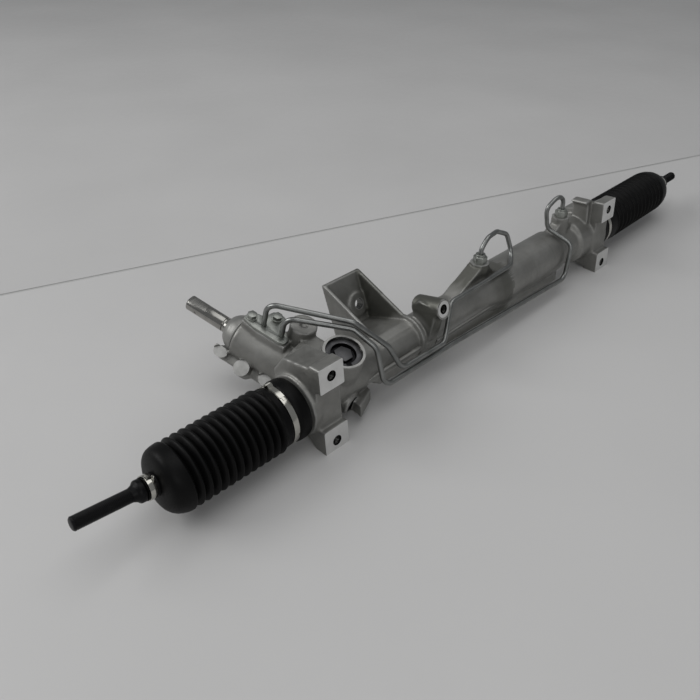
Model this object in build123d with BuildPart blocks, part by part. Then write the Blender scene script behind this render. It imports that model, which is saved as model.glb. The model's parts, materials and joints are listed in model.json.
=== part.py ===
"""Hydraulic power steering rack of a car, millimetres.

Frame: the origin is the centre of the four fixing holes, on the plane of the machined
mounting pads.  +X runs along the rack to the far tie rod, -Y leaves the mounting pads
towards the subframe, +Z is up.  The rack stands a little right of its middle position,
so the near boot is short and the far boot is long.
"""

import math
import os

from build123d import *

# ---------------------------------------------------------------- driving sizes
# Rack bar and its travel
RACK_BEHIND_FACE = 43.6  # rack axis behind the mounting face
RACK_BELOW_CENTRE = 4.5  # rack axis below the middle of the fixing holes
BAR_R = 13.0
BAR_FAR_R = 12.0  # plain rod beyond the piston
TRAVEL = 75.0  # each way from the middle
REST_OFFSET = 21.0  # the rack stands this far towards +X
BALL_FROM_MIDDLE = 446.0  # inner ball centres from the middle of the rack

# Teeth
PINION_TEETH = 8
NORMAL_MODULE = 2.0
PRESSURE_ANGLE = 20.0
PROFILE_SHIFT = 0.53  # of a module, keeps eight teeth from being undercut
TIP_SHORTENING = 0.25  # of a module, keeps the pinion tips from being sharp
TOOTH_CLEARANCE = 0.12  # taken off each rack flank
RACK_TIP_HEIGHT = 9.2  # tooth tips from the rack axis
TOOTH_MARGIN = 18.0  # toothed length beyond the travel at each end

# Pinion and yoke directions
PINION_X = -246.5  # where the pinion crosses the rack
PINION_SKEW = 14.9  # towards the near end, from square to the rack
PINION_RISE = 22.0  # above level
YOKE_X = -242.0

# Mounting pads and blocks
HOLE_SPACING_X = 568.8
HOLE_SPACING_Z = 85.8
HOLE_R = 6.2
PAD_DEPTH = 8.0  # pads stand proud of the block's front
BLOCK_WIDTH = 34.6
PAD_TOP = 57.0
PAD_INNER = 26.0
PAD_LOWER_INNER = 24.0

# Rack housing, radii about the rack axis
COLLAR_R = 31.0
COLLAR_END_X = 330.0  # the boot collars end here, both sides
COLLAR_FLANGE_R = 37.0
BARREL_R = 22.5
GEAR_BARREL_R = 26.5
CYLINDER_R = 32.5
GROOVE_R = 28.5
FAR_HUB_R = 34.5
BAR_BORE_R = 15.0
BUSH_SEAT_R = 17.0
BUSH_LENGTH = 18.0
SEAL_SEAT_R = 19.0
CYLINDER_BORE_R = 21.0
FAR_BORE_R = 22.5  # takes the guide bush
FAR_SEAL_R = 17.0
CYLINDER_START_X = 12.0
CYLINDER_END_X = 226.0
PORT_X = (20.5, 216.0)
PORT_TILT = 5.0
PORT_HEIGHT = 50.0  # port seats above the rack axis
PORT_BOSS_R = 12.5
PORT_THREAD_R = 7.0
PORT_DRILL_R = 3.0
PISTON_X = 139.0
PISTON_WIDTH = 18.0
SOCKET_BORE_R = 22.0  # the ball sockets enter the housing ends here
SOCKET_BORE_DEPTH = 12.0

RIB_X = (-214.0, 26.0)
RIB_WIDTH = 5.0
RIB_TOP_R = 26.2  # from the rack axis
RIB_ANGLE = 18.0  # below level
WEDGE = ((-237.4, 24.7), (-240.3, 6.5), (-207.5, 22.5), (-207.5, 34), (-237.4, 34))
WEDGE_TOP = -26.0
WEDGE_HEIGHT = 16.0

# Rear bracket, a wall on two gussets
BRACKET_X = (-178.0, -116.0)
BRACKET_PLATE = 5.0
BRACKET_TOP = (124.0, 62.0)  # (y, z) of the wall's top edge
BRACKET_LEAN = 15.5  # wall face from upright, top away from the rack
BRACKET_HOLE = (-133.0, 111.0, 24.0)
BRACKET_HOLE_R = 6.75

# Front ear with its fin
EAR_FACE = (-96.0, 5.0, 37.5)
EAR_R = 12.8
EAR_LENGTH = 41.0
EAR_HOLE_R = 6.0
EAR_LEAN = 10.0

# Valve tower, stations along the pinion axis from the rack
TOWER_R = 26.5
TOWER_TOP = 127.0
TOWER_BORE_R = 18.5
CAP_R = 24.0
JOURNAL_R = 9.9  # where the shaft runs in its bearing and seal
SHAFT_R = 9.5
SHAFT_TOP = 205.5
TOWER_FOOT = -31.0
FOOT_R = 13.5
FOOT_BORE_R = 10.0
GEAR_CAVITY_R = 12.4
GEAR_HALF_WIDTH = 15.0
BEARING_BORE_R = 17.0
SLEEVE_R = 17.8
SPOOL_R = 11.0
PINION_STUB_R = 6.0
PINION_JOURNAL_R = 9.0
PIN_R = 1.5
TUBE_STATIONS = (100.0, 75.0)
TUBE_SEAT = 34.0  # tube bosses above the tower's axis
PLUG_BOSS_TOP = 52.0
TUBE_BORE_R = 5.0  # seats for the tubes' ends and their seal rings

# Yoke
YOKE_R = 24.9
YOKE_RIM = 50.0
YOKE_BORE_R = 18.5
YOKE_THREAD_R = 21.2
YOKE_THREAD_DEPTH = 13.5
HEX_ACROSS = 19.0  # key boss in the adjuster

# Hydraulic tubes
TUBE_R = 3.15
TUBE_BEND = 14.0
SCREW_R = 3.0
PLATE_THICK = 4.0

# Boots
BOOT_WALL = 1.6
BOOT_START_X = 338.0
NEAR_CUFF_R = 34.0
FAR_CUFF_R = 33.5
NEAR_CREST_R = 37.5
FAR_CREST_R = 34.6
CREST_DEPTH = 6.0
CRESTS = 13
NEAR_PITCH = 9.3
NEAR_BOOT_RISE = 1.5  # the bellows' far end stands this much above the rack axis
FAR_FIRST_CREST = 347.8
FAR_PITCH = 13.0
BOOT_NECK_R = 11.4
BAND_WIDTH = 7.0
BAND_EAR_ANGLE = 80.0  # about the rack axis, from level at the back
BAND_X = (-329.7, 319.5)

# Tie rods
BALL_R = 14.0
SOCKET_R = 18.0
SOCKET_BACK = 48.0  # socket face behind the ball centre
SOCKET_LIP = 7.5
ROD_R = 8.0
BOOT_SEAT_R = 9.3  # the boot's small end sits here
ROD_COLLAR_R = 11.6
THREAD_R = 7.2
NECK_R = 7.5
ROD_LENGTH = 136.6
NEAR_ROD_LIFT = 6.6  # the near rod's outer end stands up by this angle

FIT = 0.05  # radial running and seating clearance
SOFT_GAP = 0.3  # boots and seals clear of what they surround

os.makedirs("parts", exist_ok=True)

# ---------------------------------------------------------------- derived frames
RACK_ORIGIN = Vector(0, RACK_BEHIND_FACE, -RACK_BELOW_CENTRE)


def dir_from(rise, skew):
    """Unit direction leaving +Y, turned towards -X by skew and up by rise."""
    level = math.cos(math.radians(skew))
    return Vector(
        -math.sin(math.radians(skew)),
        level * math.cos(math.radians(rise)),
        level * math.sin(math.radians(rise)),
    )


PINION_DIR = dir_from(PINION_RISE, PINION_SKEW)
YOKE_DIR = Vector(0, -math.sin(math.radians(PINION_RISE)), math.cos(math.radians(PINION_RISE)))

SKEW_COS = math.cos(math.radians(PINION_SKEW))
PITCH_R = PINION_TEETH * NORMAL_MODULE / 2 / SKEW_COS
RACK_PITCH = math.pi * NORMAL_MODULE
RACK_LINE_R = PITCH_R + PROFILE_SHIFT * NORMAL_MODULE  # rack reference line from the pinion axis
PINION_OFFSET = RACK_TIP_HEIGHT + RACK_LINE_R - NORMAL_MODULE
PINION_ORIGIN = RACK_ORIGIN + Vector(PINION_X, 0, 0) - YOKE_DIR * PINION_OFFSET

# rack frame: local Z along the rack, local X = world Y, local Y = world Z
rack_frame = Plane(origin=RACK_ORIGIN, x_dir=(0, 1, 0), z_dir=(1, 0, 0))
# tower frame: local Z up the pinion, local Y towards the yoke side, local X to the near end
tower_frame = Plane(
    origin=PINION_ORIGIN, x_dir=-(PINION_DIR.cross(YOKE_DIR)), z_dir=PINION_DIR
)
yoke_frame = Plane(origin=RACK_ORIGIN + Vector(YOKE_X, 0, 0), x_dir=(1, 0, 0), z_dir=YOKE_DIR)


def port_frame(x):
    """Frame of one cylinder port, local Z out of the port, origin on the rack axis."""
    tilt = math.radians(PORT_TILT)
    return Plane(
        origin=RACK_ORIGIN + Vector(x, 0, 0),
        x_dir=(1, 0, 0),
        z_dir=(0, -math.sin(tilt), math.cos(tilt)),
    )


def meridian(frame):
    """Half plane through a frame's Z axis: local X is the radius, local Y the station."""
    return Plane(origin=frame.origin, x_dir=frame.x_dir, z_dir=-frame.y_dir)


def profile(frame, *corners):
    """Half section of a turned piece, corners given as (radius, station)."""
    with BuildSketch(meridian(frame)) as section:
        with BuildLine():
            Polyline(*corners, close=True)
        make_face()
    return section.sketch


def turn(frame, *corners, mode=Mode.ADD):
    """Turns a half section about the frame's Z axis into the open part."""
    revolve(profile(frame, *corners), axis=Axis(frame.origin, frame.z_dir), mode=mode)


def ring(frame, inner, outer, start, end, mode=Mode.ADD):
    """Plain ring, or a disc when inner is zero."""
    turn(frame, (inner, start), (outer, start), (outer, end), (inner, end), mode=mode)


def tower_point(station, out=0.0, side=0.0):
    """World point at a station of the pinion axis, out to the yoke side, side to the near end."""
    return tower_frame.from_local_coords(Vector(side, out, station))


def tube_frame(station, side=0.0, out=0.0):
    """Frame of a seat or hole on the tower's yoke side, local Z out of the seat."""
    return Plane(origin=tower_point(station, out, side), x_dir=PINION_DIR, z_dir=YOKE_DIR)


def save(piece, name):
    """Labels a finished piece and writes it."""
    piece.part.label = name
    export_step(piece.part, f"parts/{name}.step")


# ---------------------------------------------------------------- rack housing
BLOCK_NEAR = -HOLE_SPACING_X / 2 - BLOCK_WIDTH / 2
BLOCK_FAR = HOLE_SPACING_X / 2 - BLOCK_WIDTH / 2
BRACKET_OUT = Vector(0, -math.cos(math.radians(BRACKET_LEAN)), math.sin(math.radians(BRACKET_LEAN)))
BUSH_START = -COLLAR_END_X + SOCKET_BORE_DEPTH
EAR_OUT = Vector(0, -math.cos(math.radians(EAR_LEAN)), math.sin(math.radians(EAR_LEAN)))
bracket_frame = Plane(origin=BRACKET_HOLE, x_dir=(1, 0, 0), z_dir=BRACKET_OUT)
ear_frame = Plane(origin=EAR_FACE, x_dir=(1, 0, 0), z_dir=EAR_OUT)
# through the tower's axis, local X to the far side, local Y up the tower
seat_plane = Plane(origin=PINION_ORIGIN, x_dir=-tower_frame.x_dir, z_dir=YOKE_DIR)


def slab(x_start, x_end, *corners):
    """Plate square to the rack, its side view given as (y, z) corners."""
    with BuildSketch(Plane.YZ.offset(x_start)) as side:
        with BuildLine():
            Polyline(*corners, close=True)
        make_face()
    extrude(side.sketch, amount=x_end - x_start)


def add_barrel():
    """Turned body from the near boot collar to the far one."""
    turn(
        rack_frame,
        (0, -COLLAR_END_X),
        (COLLAR_R - 1, -COLLAR_END_X),
        (COLLAR_R, -COLLAR_END_X + 1.5),
        (COLLAR_R, -306),
        (COLLAR_FLANGE_R, -306),
        (COLLAR_FLANGE_R, -298),
        (GEAR_BARREL_R, -262),
        (GEAR_BARREL_R - 1, -212),
        (BARREL_R + 0.5, -190),
        (BARREL_R, 0),
        (CYLINDER_R, 44),
        (CYLINDER_R - 1.2, 195),
        (GROOVE_R, 198),
        (GROOVE_R, 234),
        (FAR_HUB_R, 239),
        (FAR_HUB_R, 262),
        (FAR_HUB_R + 2.5, 268),
        (FAR_HUB_R + 2.5, 300),
        (COLLAR_R, 303),
        (COLLAR_R, COLLAR_END_X - 1.5),
        (COLLAR_R - 1, COLLAR_END_X),
        (0, COLLAR_END_X),
    )


def add_blocks():
    """Mounting blocks at both ends with their proud machined pads."""
    slab(
        BLOCK_NEAR,
        BLOCK_NEAR + BLOCK_WIDTH,
        (PAD_DEPTH, -50),
        (PAD_DEPTH, 53),
        (12, 54),
        (58, 49),
        (76, 28),
        (80, -12),
        (66, -34),
        (34, -40),
        (22, -50),
    )
    slab(
        BLOCK_FAR,
        BLOCK_FAR + BLOCK_WIDTH,
        (PAD_DEPTH, -50),
        (PAD_DEPTH, 54),
        (16, 55),
        (32, 44),
        (66, 36),
        (80, 8),
        (76, -26),
        (52, -42),
        (22, -50),
    )
    for block_x in (BLOCK_NEAR, BLOCK_FAR):
        slab(
            block_x,
            block_x + BLOCK_WIDTH,
            (0, PAD_INNER),
            (0, PAD_TOP),
            (16, PAD_TOP),
            (16, PAD_INNER),
        )
        slab(
            block_x,
            block_x + BLOCK_WIDTH,
            (0, -PAD_LOWER_INNER),
            (0, -PAD_TOP),
            (16, -PAD_TOP),
            (22, -50),
            (22, -PAD_LOWER_INNER),
        )


def add_gear_end():
    """Valve tower with its foot, the yoke boss and the shoulders between them."""
    turn(
        tower_frame,
        (0, TOWER_FOOT),
        (FOOT_R - 1.5, TOWER_FOOT),
        (FOOT_R, TOWER_FOOT + 1.5),
        (FOOT_R, -23),
        (FOOT_R + 3.5, -16),
        (TOWER_R - 3, 20),
        (TOWER_R, 45),
        (TOWER_R, TOWER_TOP - 2.5),
        (TOWER_R - 2.5, TOWER_TOP),
        (0, TOWER_TOP),
    )
    turn(
        yoke_frame,
        (0, -14),
        (15, -14),
        (YOKE_R - 3.2, 3),
        (YOKE_R, 30),
        (YOKE_R, YOKE_RIM - 1.2),
        (YOKE_R - 1.2, YOKE_RIM),
        (0, YOKE_RIM),
    )
    with BuildSketch(tower_frame.offset(14)) as shoulder:
        with BuildLine():
            Polyline((40, -12), (40, 28), (26, 44), (-24, 42), (-30, 6), (-20, -20), close=True)
        make_face()
    extrude(shoulder.sketch, amount=38)
    # plug boss beside the yoke
    ring(tube_frame(60, -20), 0, 16, 0, PLUG_BOSS_TOP)


def add_tube_seats():
    """Platform on the tower for the two tubes and their clamp plate."""
    with BuildSketch(seat_plane) as seat:
        with BuildLine():
            Polyline(
                (-11, 63),
                (11, 63),
                (13, 82),
                (26, 84),
                (26, 104),
                (12, 110),
                (9, 125),
                (-9, 125),
                (-12, 100),
                close=True,
            )
        make_face()
    extrude(seat.sketch, amount=TUBE_SEAT)


def add_stubs():
    """Three round cast stubs on the tower's near lower side, joined by a web."""
    stub_dir = (YOKE_DIR * 0.82 + tower_frame.x_dir * 0.57).normalized()
    for station, side in ((136.0, 25.5), (101.5, 32.6), (70.5, 25.5)):
        stub = Plane(origin=tower_point(station, -12, side), x_dir=PINION_DIR, z_dir=stub_dir)
        ring(stub, 0, 10, -24, 0)
    with BuildSketch(tower_frame.offset(64)) as web:
        with BuildLine():
            Polyline((4, -16), (20, -13), (30, -22), (22, -34), (2, -30), close=True)
        make_face()
    extrude(web.sketch, amount=78)


def add_bracket():
    """Leaning wall with a bolt boss, carried by two gussets and a floor web."""
    lean = math.tan(math.radians(BRACKET_LEAN))
    top_y, top_z = BRACKET_TOP
    foot_z = -5.0
    foot_y = top_y - (top_z - foot_z) * lean
    slab(
        BRACKET_X[0],
        BRACKET_X[1],
        (top_y, top_z),
        (top_y + BRACKET_PLATE, top_z),
        (foot_y + BRACKET_PLATE, foot_z),
        (foot_y, foot_z),
    )
    for gusset_x in (BRACKET_X[0], BRACKET_X[1] - BRACKET_PLATE):
        slab(
            gusset_x,
            gusset_x + BRACKET_PLATE,
            (26, 12),
            (top_y + 1, top_z),
            (foot_y + 1, foot_z),
            (58, -20),
        )
    # pocket floor, from a ledge on the barrel's crown to the wall's foot
    slab(
        BRACKET_X[0],
        BRACKET_X[1],
        (32.5, 10),
        (33, 16.5),
        (44, 19.5),
        (foot_y + 2, foot_z + 6),
        (foot_y + 2, foot_z),
        (62, 0),
        (44, 0),
    )
    ring(bracket_frame, 0, 15.5, -12, 0)
    ring(rack_frame, 0, 29, BRACKET_X[1] - BRACKET_PLATE, BRACKET_X[1])


def add_ear():
    """Bolt ear in front of the barrel and the fin behind it."""
    ring(ear_frame, 0, EAR_R, -EAR_LENGTH, 0)
    slab(
        EAR_FACE[0] - 4,
        EAR_FACE[0] + 4,
        (5.5, 30),
        (8, 22),
        (21, -22),
        (RACK_BEHIND_FACE, -27),
        (RACK_BEHIND_FACE, 28),
        (20, 36),
    )


def add_ports():
    """Cylinder ports and the ramps that lead up to them."""
    for port_x in PORT_X:
        ring(port_frame(port_x), 0, PORT_BOSS_R, 10, PORT_HEIGHT)
    lean = math.tan(math.radians(PORT_TILT))
    ramp_plane = Plane(origin=RACK_ORIGIN, x_dir=(1, 0, 0), z_dir=(0, -1, -lean))
    with BuildSketch(ramp_plane.offset(-11)) as ramp:
        with BuildLine():
            Polyline(
                (-42, 12),
                (-42, 21),
                (12, PORT_HEIGHT - 1),
                (24, PORT_HEIGHT - 1),
                (44, 30),
                (44, 12),
                close=True,
            )
        make_face()
    extrude(ramp.sketch, amount=22)
    with BuildSketch(ramp_plane.offset(-8)) as stay:
        with BuildLine():
            Polyline((190, 12), (190, 30), (208, 44), (222, 44), (238, 34), (238, 12), close=True)
        make_face()
    extrude(stay.sketch, amount=16)


def add_hook():
    """Hooked lug on the far hub, beside the block."""
    with BuildSketch(Plane.XZ.offset(-20)) as hook:
        with BuildLine():
            Polyline(
                (252, 55),
                (253, 58.5),
                (267, 59),
                (276, 52),
                (276, 22),
                (260, 22),
                (259, 50),
                (257, 54),
                close=True,
            )
        make_face()
    extrude(hook.sketch, amount=-26)


def add_flange_rib():
    """Rib along the casting's parting line, low on the front of the barrel."""
    rise = math.radians(RIB_ANGLE)
    middle = RIB_TOP_R - 6
    with BuildSketch(rack_frame.offset(RIB_X[0])) as rib:
        with Locations((-middle * math.cos(rise), -middle * math.sin(rise))):
            Rectangle(12, RIB_WIDTH, rotation=RIB_ANGLE)
    extrude(rib.sketch, amount=RIB_X[1] - RIB_X[0])
    # wedge between the rib and the foot of the tower
    with BuildSketch(Plane.XY.offset(WEDGE_TOP)) as wedge:
        with BuildLine():
            Polyline(*WEDGE, close=True)
        make_face()
    extrude(wedge.sketch, amount=-WEDGE_HEIGHT)


def cut_rack_bores():
    """Bore for the bar, the cylinder, the seal and bush seats and the socket bores."""
    end = COLLAR_END_X + 1
    turn(
        rack_frame,
        (0, -end),
        (SOCKET_BORE_R, -end),
        (SOCKET_BORE_R, BUSH_START),
        (BUSH_SEAT_R, BUSH_START),
        (BUSH_SEAT_R, BUSH_START + BUSH_LENGTH),
        (BAR_BORE_R, BUSH_START + BUSH_LENGTH),
        (BAR_BORE_R, 1),
        (SEAL_SEAT_R, 1),
        (SEAL_SEAT_R, CYLINDER_START_X),
        (CYLINDER_BORE_R, CYLINDER_START_X),
        (CYLINDER_BORE_R, CYLINDER_END_X),
        (FAR_BORE_R, CYLINDER_END_X),
        (FAR_BORE_R, 262.5),
        (FAR_BORE_R + 1.5, 262.5),
        (FAR_BORE_R + 1.5, 265),
        (FAR_BORE_R, 265),
        (FAR_BORE_R, end),
        (0, end),
        mode=Mode.SUBTRACT,
    )


def cut_gear_bores():
    """Pinion, bearing and valve bore of the tower, and the yoke's bore."""
    turn(
        tower_frame,
        (0, TOWER_FOOT - 1),
        (FOOT_BORE_R, TOWER_FOOT - 1),
        (FOOT_BORE_R, -GEAR_HALF_WIDTH - 2),
        (GEAR_CAVITY_R, -GEAR_HALF_WIDTH - 2),
        (GEAR_CAVITY_R, 24),
        (BEARING_BORE_R, 24),
        (BEARING_BORE_R, 40),
        (TOWER_BORE_R, 40),
        (TOWER_BORE_R, TOWER_TOP + 1),
        (0, TOWER_TOP + 1),
        mode=Mode.SUBTRACT,
    )
    thread_foot = YOKE_RIM - YOKE_THREAD_DEPTH
    turn(
        yoke_frame,
        (0, 1),
        (YOKE_BORE_R, 1),
        (YOKE_BORE_R, thread_foot),
        (YOKE_THREAD_R, thread_foot),
        (YOKE_THREAD_R, YOKE_RIM + 1),
        (0, YOKE_RIM + 1),
        mode=Mode.SUBTRACT,
    )


def cut_oil_ways():
    """Tube seats, clamp screw holes and cylinder ports."""
    for station in TUBE_STATIONS:
        ring(tube_frame(station), 0, 2.5, 16, 24, Mode.SUBTRACT)
        ring(tube_frame(station), 0, TUBE_BORE_R, 23, TUBE_SEAT + 1, Mode.SUBTRACT)
    for station, side in SCREW_SPOTS:
        ring(tube_frame(station, side), 0, SCREW_R + FIT, 21.5, TUBE_SEAT + 1, Mode.SUBTRACT)
    for port_x in PORT_X:
        ring(port_frame(port_x), 0, PORT_DRILL_R, 18, 40, Mode.SUBTRACT)
        ring(port_frame(port_x), 0, PORT_THREAD_R, 38, PORT_HEIGHT + 1, Mode.SUBTRACT)
    # room for the valve cap beside the upper stub
    ring(tower_frame, 0, CAP_R + 0.6, TOWER_TOP, TOWER_TOP + 25, Mode.SUBTRACT)
    # blind recess in the plug boss
    ring(tube_frame(60, -20, PLUG_BOSS_TOP), 0, 4.5, -3, 1, Mode.SUBTRACT)


def cut_bolt_holes():
    """Four fixing holes, the bracket hole and the ear hole."""
    for hole_x in (-HOLE_SPACING_X / 2, HOLE_SPACING_X / 2):
        for hole_z, depth in ((HOLE_SPACING_Z / 2, 32), (-HOLE_SPACING_Z / 2, 20)):
            face = Plane(origin=(hole_x, 0, hole_z), x_dir=(1, 0, 0), z_dir=(0, -1, 0))
            ring(face, 0, HOLE_R, -depth, 1, Mode.SUBTRACT)
    ring(bracket_frame, 0, BRACKET_HOLE_R, -20, 1, Mode.SUBTRACT)
    ring(ear_frame, 0, EAR_HOLE_R, -EAR_LENGTH + 9, 1, Mode.SUBTRACT)


SCREW_SPOTS = ((117.0, 0.0), (94.0, -18.0))

with BuildPart() as rack_housing:
    add_barrel()
    add_blocks()
    add_gear_end()
    add_tube_seats()
    add_stubs()
    add_bracket()
    add_ear()
    add_ports()
    add_hook()
    add_flange_rib()
    cut_rack_bores()
    cut_gear_bores()
    cut_oil_ways()
    cut_bolt_holes()

save(rack_housing, "rack_housing")
print("housing solids", len(rack_housing.part.solids()), "volume", round(rack_housing.part.volume))

# ---------------------------------------------------------------- fixed inner pieces
# Polymer bush that carries the bar at the gear end
with BuildPart() as near_rack_bush:
    ring(rack_frame, BAR_R + FIT, BUSH_SEAT_R - FIT, BUSH_START, BUSH_START + BUSH_LENGTH)
save(near_rack_bush, "near_rack_bush")

# Seal at the cylinder's inner end
with BuildPart() as inner_seal:
    ring(rack_frame, BAR_R + FIT, SEAL_SEAT_R - FIT, 2, CYLINDER_START_X)
save(inner_seal, "inner_seal")

# Guide bush that closes the cylinder, with a pocket for the far seal
with BuildPart() as far_guide_bush:
    turn(
        rack_frame,
        (FAR_SEAL_R, CYLINDER_END_X + 2),
        (FAR_BORE_R - FIT, CYLINDER_END_X + 2),
        (FAR_BORE_R - FIT, 262),
        (BAR_FAR_R + FIT, 262),
        (BAR_FAR_R + FIT, 238),
        (FAR_SEAL_R, 238),
    )
save(far_guide_bush, "far_guide_bush")

with BuildPart() as far_seal:
    ring(rack_frame, BAR_FAR_R + FIT, FAR_SEAL_R - FIT, 229, 237.5)
save(far_seal, "far_seal")

with BuildPart() as far_retaining_ring:
    ring(rack_frame, 19, FAR_BORE_R + 1.4, 262.7, 264.8)
save(far_retaining_ring, "far_retaining_ring")

# Pinion bearings, end plug, shaft bearing, seal and the domed cap
with BuildPart() as lower_pinion_bearing:
    ring(tower_frame, PINION_STUB_R + FIT, FOOT_BORE_R - FIT, -26, -18)
save(lower_pinion_bearing, "lower_pinion_bearing")

with BuildPart() as upper_pinion_bearing:
    ring(tower_frame, PINION_JOURNAL_R + FIT, BEARING_BORE_R - FIT, 25, 37)
save(upper_pinion_bearing, "upper_pinion_bearing")

with BuildPart() as pinion_end_plug:
    ring(tower_frame, 0, FOOT_BORE_R - 0.2, TOWER_FOOT + 0.5, -27.6)
    ring(tower_frame, 0, 7, TOWER_FOOT, TOWER_FOOT + 1.3, Mode.SUBTRACT)
save(pinion_end_plug, "pinion_end_plug")

with BuildPart() as valve_cap:
    turn(
        tower_frame,
        (13.1, TOWER_TOP - 13),
        (TOWER_BORE_R - FIT, TOWER_TOP - 13),
        (TOWER_BORE_R - FIT, TOWER_TOP),
        (CAP_R, TOWER_TOP),
        (CAP_R - 1, TOWER_TOP + 5),
        (CAP_R - 3.5, TOWER_TOP + 11),
        (CAP_R - 7, TOWER_TOP + 16),
        (CAP_R - 10.5, TOWER_TOP + 18.5),
        (JOURNAL_R + SOFT_GAP, TOWER_TOP + 18.5),
        (JOURNAL_R + SOFT_GAP, TOWER_TOP + 11),
        (15, TOWER_TOP + 11),
        (15, TOWER_TOP + 1),
        (13.1, TOWER_TOP),
    )
save(valve_cap, "valve_cap")

with BuildPart() as shaft_bearing:
    ring(tower_frame, JOURNAL_R + FIT, 13, TOWER_TOP - 12, TOWER_TOP - 1)
save(shaft_bearing, "shaft_bearing")

with BuildPart() as shaft_seal:
    ring(tower_frame, JOURNAL_R + FIT, 14.9, TOWER_TOP + 2, TOWER_TOP + 10)
save(shaft_seal, "shaft_seal")

# Yoke: plunger, liner, spring, seal ring and the adjuster
SADDLE_R = BAR_R + 1.0
PLUNGER_TOP = 33.0
SPRING_SEAT = 21.0
ADJUSTER_FOOT = YOKE_RIM - YOKE_THREAD_DEPTH + 0.5
ADJUSTER_TOP = YOKE_RIM - 3.5
RECESS_FLOOR = ADJUSTER_TOP - 5.0
RECESS_R = 14.5

with BuildPart() as yoke_plunger:
    ring(yoke_frame, 0, YOKE_BORE_R - FIT, 2, PLUNGER_TOP)
    ring(yoke_frame, 0, 11, SPRING_SEAT, PLUNGER_TOP + 1, Mode.SUBTRACT)
    ring(yoke_frame, 16.4, 19, 23, 25.4, Mode.SUBTRACT)
    ring(rack_frame, 0, SADDLE_R, YOKE_X - 30, YOKE_X + 30, Mode.SUBTRACT)
save(yoke_plunger, "yoke_plunger")

with BuildPart() as yoke_liner:
    ring(rack_frame, BAR_R + FIT, SADDLE_R - 0.02, YOKE_X - 12, YOKE_X + 12)
    with BuildSketch(yoke_frame.offset(5)) as keep:
        Rectangle(40, 40)
    extrude(amount=12, mode=Mode.INTERSECT)
save(yoke_liner, "yoke_liner")

with BuildPart() as yoke_spring:
    with BuildLine():
        coil = Helix(
            pitch=3.4,
            height=13.2,
            radius=8.5,
            center=yoke_frame.from_local_coords(Vector(0, 0, SPRING_SEAT + 1.25)),
            direction=YOKE_DIR,
        )
    with BuildSketch(Plane(origin=coil @ 0, z_dir=coil % 0)):
        Circle(1.2)
    sweep(path=coil, is_frenet=True)
save(yoke_spring, "yoke_spring")

with BuildPart() as yoke_seal_ring:
    ring(yoke_frame, 16.5, YOKE_BORE_R - 0.02, 23.1, 25.3)
save(yoke_seal_ring, "yoke_seal_ring")

with BuildPart() as yoke_adjuster:
    turn(
        yoke_frame,
        (0, ADJUSTER_FOOT),
        (20.2, ADJUSTER_FOOT),
        (YOKE_THREAD_R - 0.15, ADJUSTER_FOOT + 1),
        (YOKE_THREAD_R - 0.15, ADJUSTER_TOP),
        (RECESS_R, ADJUSTER_TOP),
        (RECESS_R, RECESS_FLOOR),
        (0, RECESS_FLOOR),
    )
    with BuildSketch(yoke_frame.offset(RECESS_FLOOR)) as key_boss:
        RegularPolygon(HEX_ACROSS / 2 / math.cos(math.pi / 6), 6)
    extrude(amount=ADJUSTER_TOP - RECESS_FLOOR - 0.4)
save(yoke_adjuster, "yoke_adjuster")

# ---------------------------------------------------------------- hydraulic tubes


def hydraulic_tube(run_points, name, bead_frame):
    """Steel tube bent through its points, with the bead its clamp plate holds."""
    with BuildPart() as tube:
        with BuildLine() as run:
            FilletPolyline(*run_points, radius=TUBE_BEND)
        with BuildSketch(Plane(origin=run.line @ 0, z_dir=run.line % 0)):
            Circle(TUBE_R)
        sweep(path=run.line)
        ring(bead_frame, 0, 4.7, TUBE_SEAT - 3.4, TUBE_SEAT - 0.1)
        # the bore is open at both ends
        ring(bead_frame, 0, TUBE_R - 0.9, 24, 44, Mode.SUBTRACT)
    save(tube, name)
    return run.line


def port_point(port_x, height):
    """World point above a cylinder port."""
    return port_frame(port_x).from_local_coords(Vector(0, 0, height))


near_tube_points = (
    tower_point(TUBE_STATIONS[0], 25),
    tower_point(TUBE_STATIONS[0], 72),
    (-215, 36, 62),
    (-186, 12, 26),
    (-172, 5, -8),
    (-95, 4, -9.5),
    (-60, 22, 26),
    (68, 23, 27),
    (93, 39, 33),
    (80, 40, 64),
    (56, 39.5, 76),
    port_point(PORT_X[0] + 12, 81),
    port_point(PORT_X[0], 68),
    port_point(PORT_X[0], 42),
)
far_tube_points = (
    tower_point(TUBE_STATIONS[1], 25),
    tower_point(TUBE_STATIONS[1], 67),
    (-216, 36, 53.5),
    (-204, 13, 32),
    (-203, 4, -17),
    (-80, 6, -20.5),
    (184, 5.5, -33),
    (198, 6.5, 16),
    (186, 42, 36),
    (179, 42, 68),
    port_point(PORT_X[1] - 15, 87),
    port_point(PORT_X[1], 75),
    port_point(PORT_X[1], 42),
)
for tube_name, points, station in (
    ("tube_near_port", near_tube_points, TUBE_STATIONS[0]),
    ("tube_far_port", far_tube_points, TUBE_STATIONS[1]),
):
    hydraulic_tube(points, tube_name, tube_frame(station))

with BuildPart() as tube_nuts:
    for port_x in PORT_X:
        with BuildSketch(port_frame(port_x).offset(PORT_HEIGHT)):
            RegularPolygon(9.3, 6)
        extrude(amount=9)
        ring(port_frame(port_x), 0, 6.4, PORT_HEIGHT + 8, PORT_HEIGHT + 12)
        ring(port_frame(port_x), 0, PORT_THREAD_R - 0.05, PORT_HEIGHT - 7, PORT_HEIGHT + 1)
        ring(port_frame(port_x), 0, TUBE_R + FIT, PORT_HEIGHT - 8, PORT_HEIGHT + 13, Mode.SUBTRACT)
save(tube_nuts, "tube_nuts")

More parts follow.
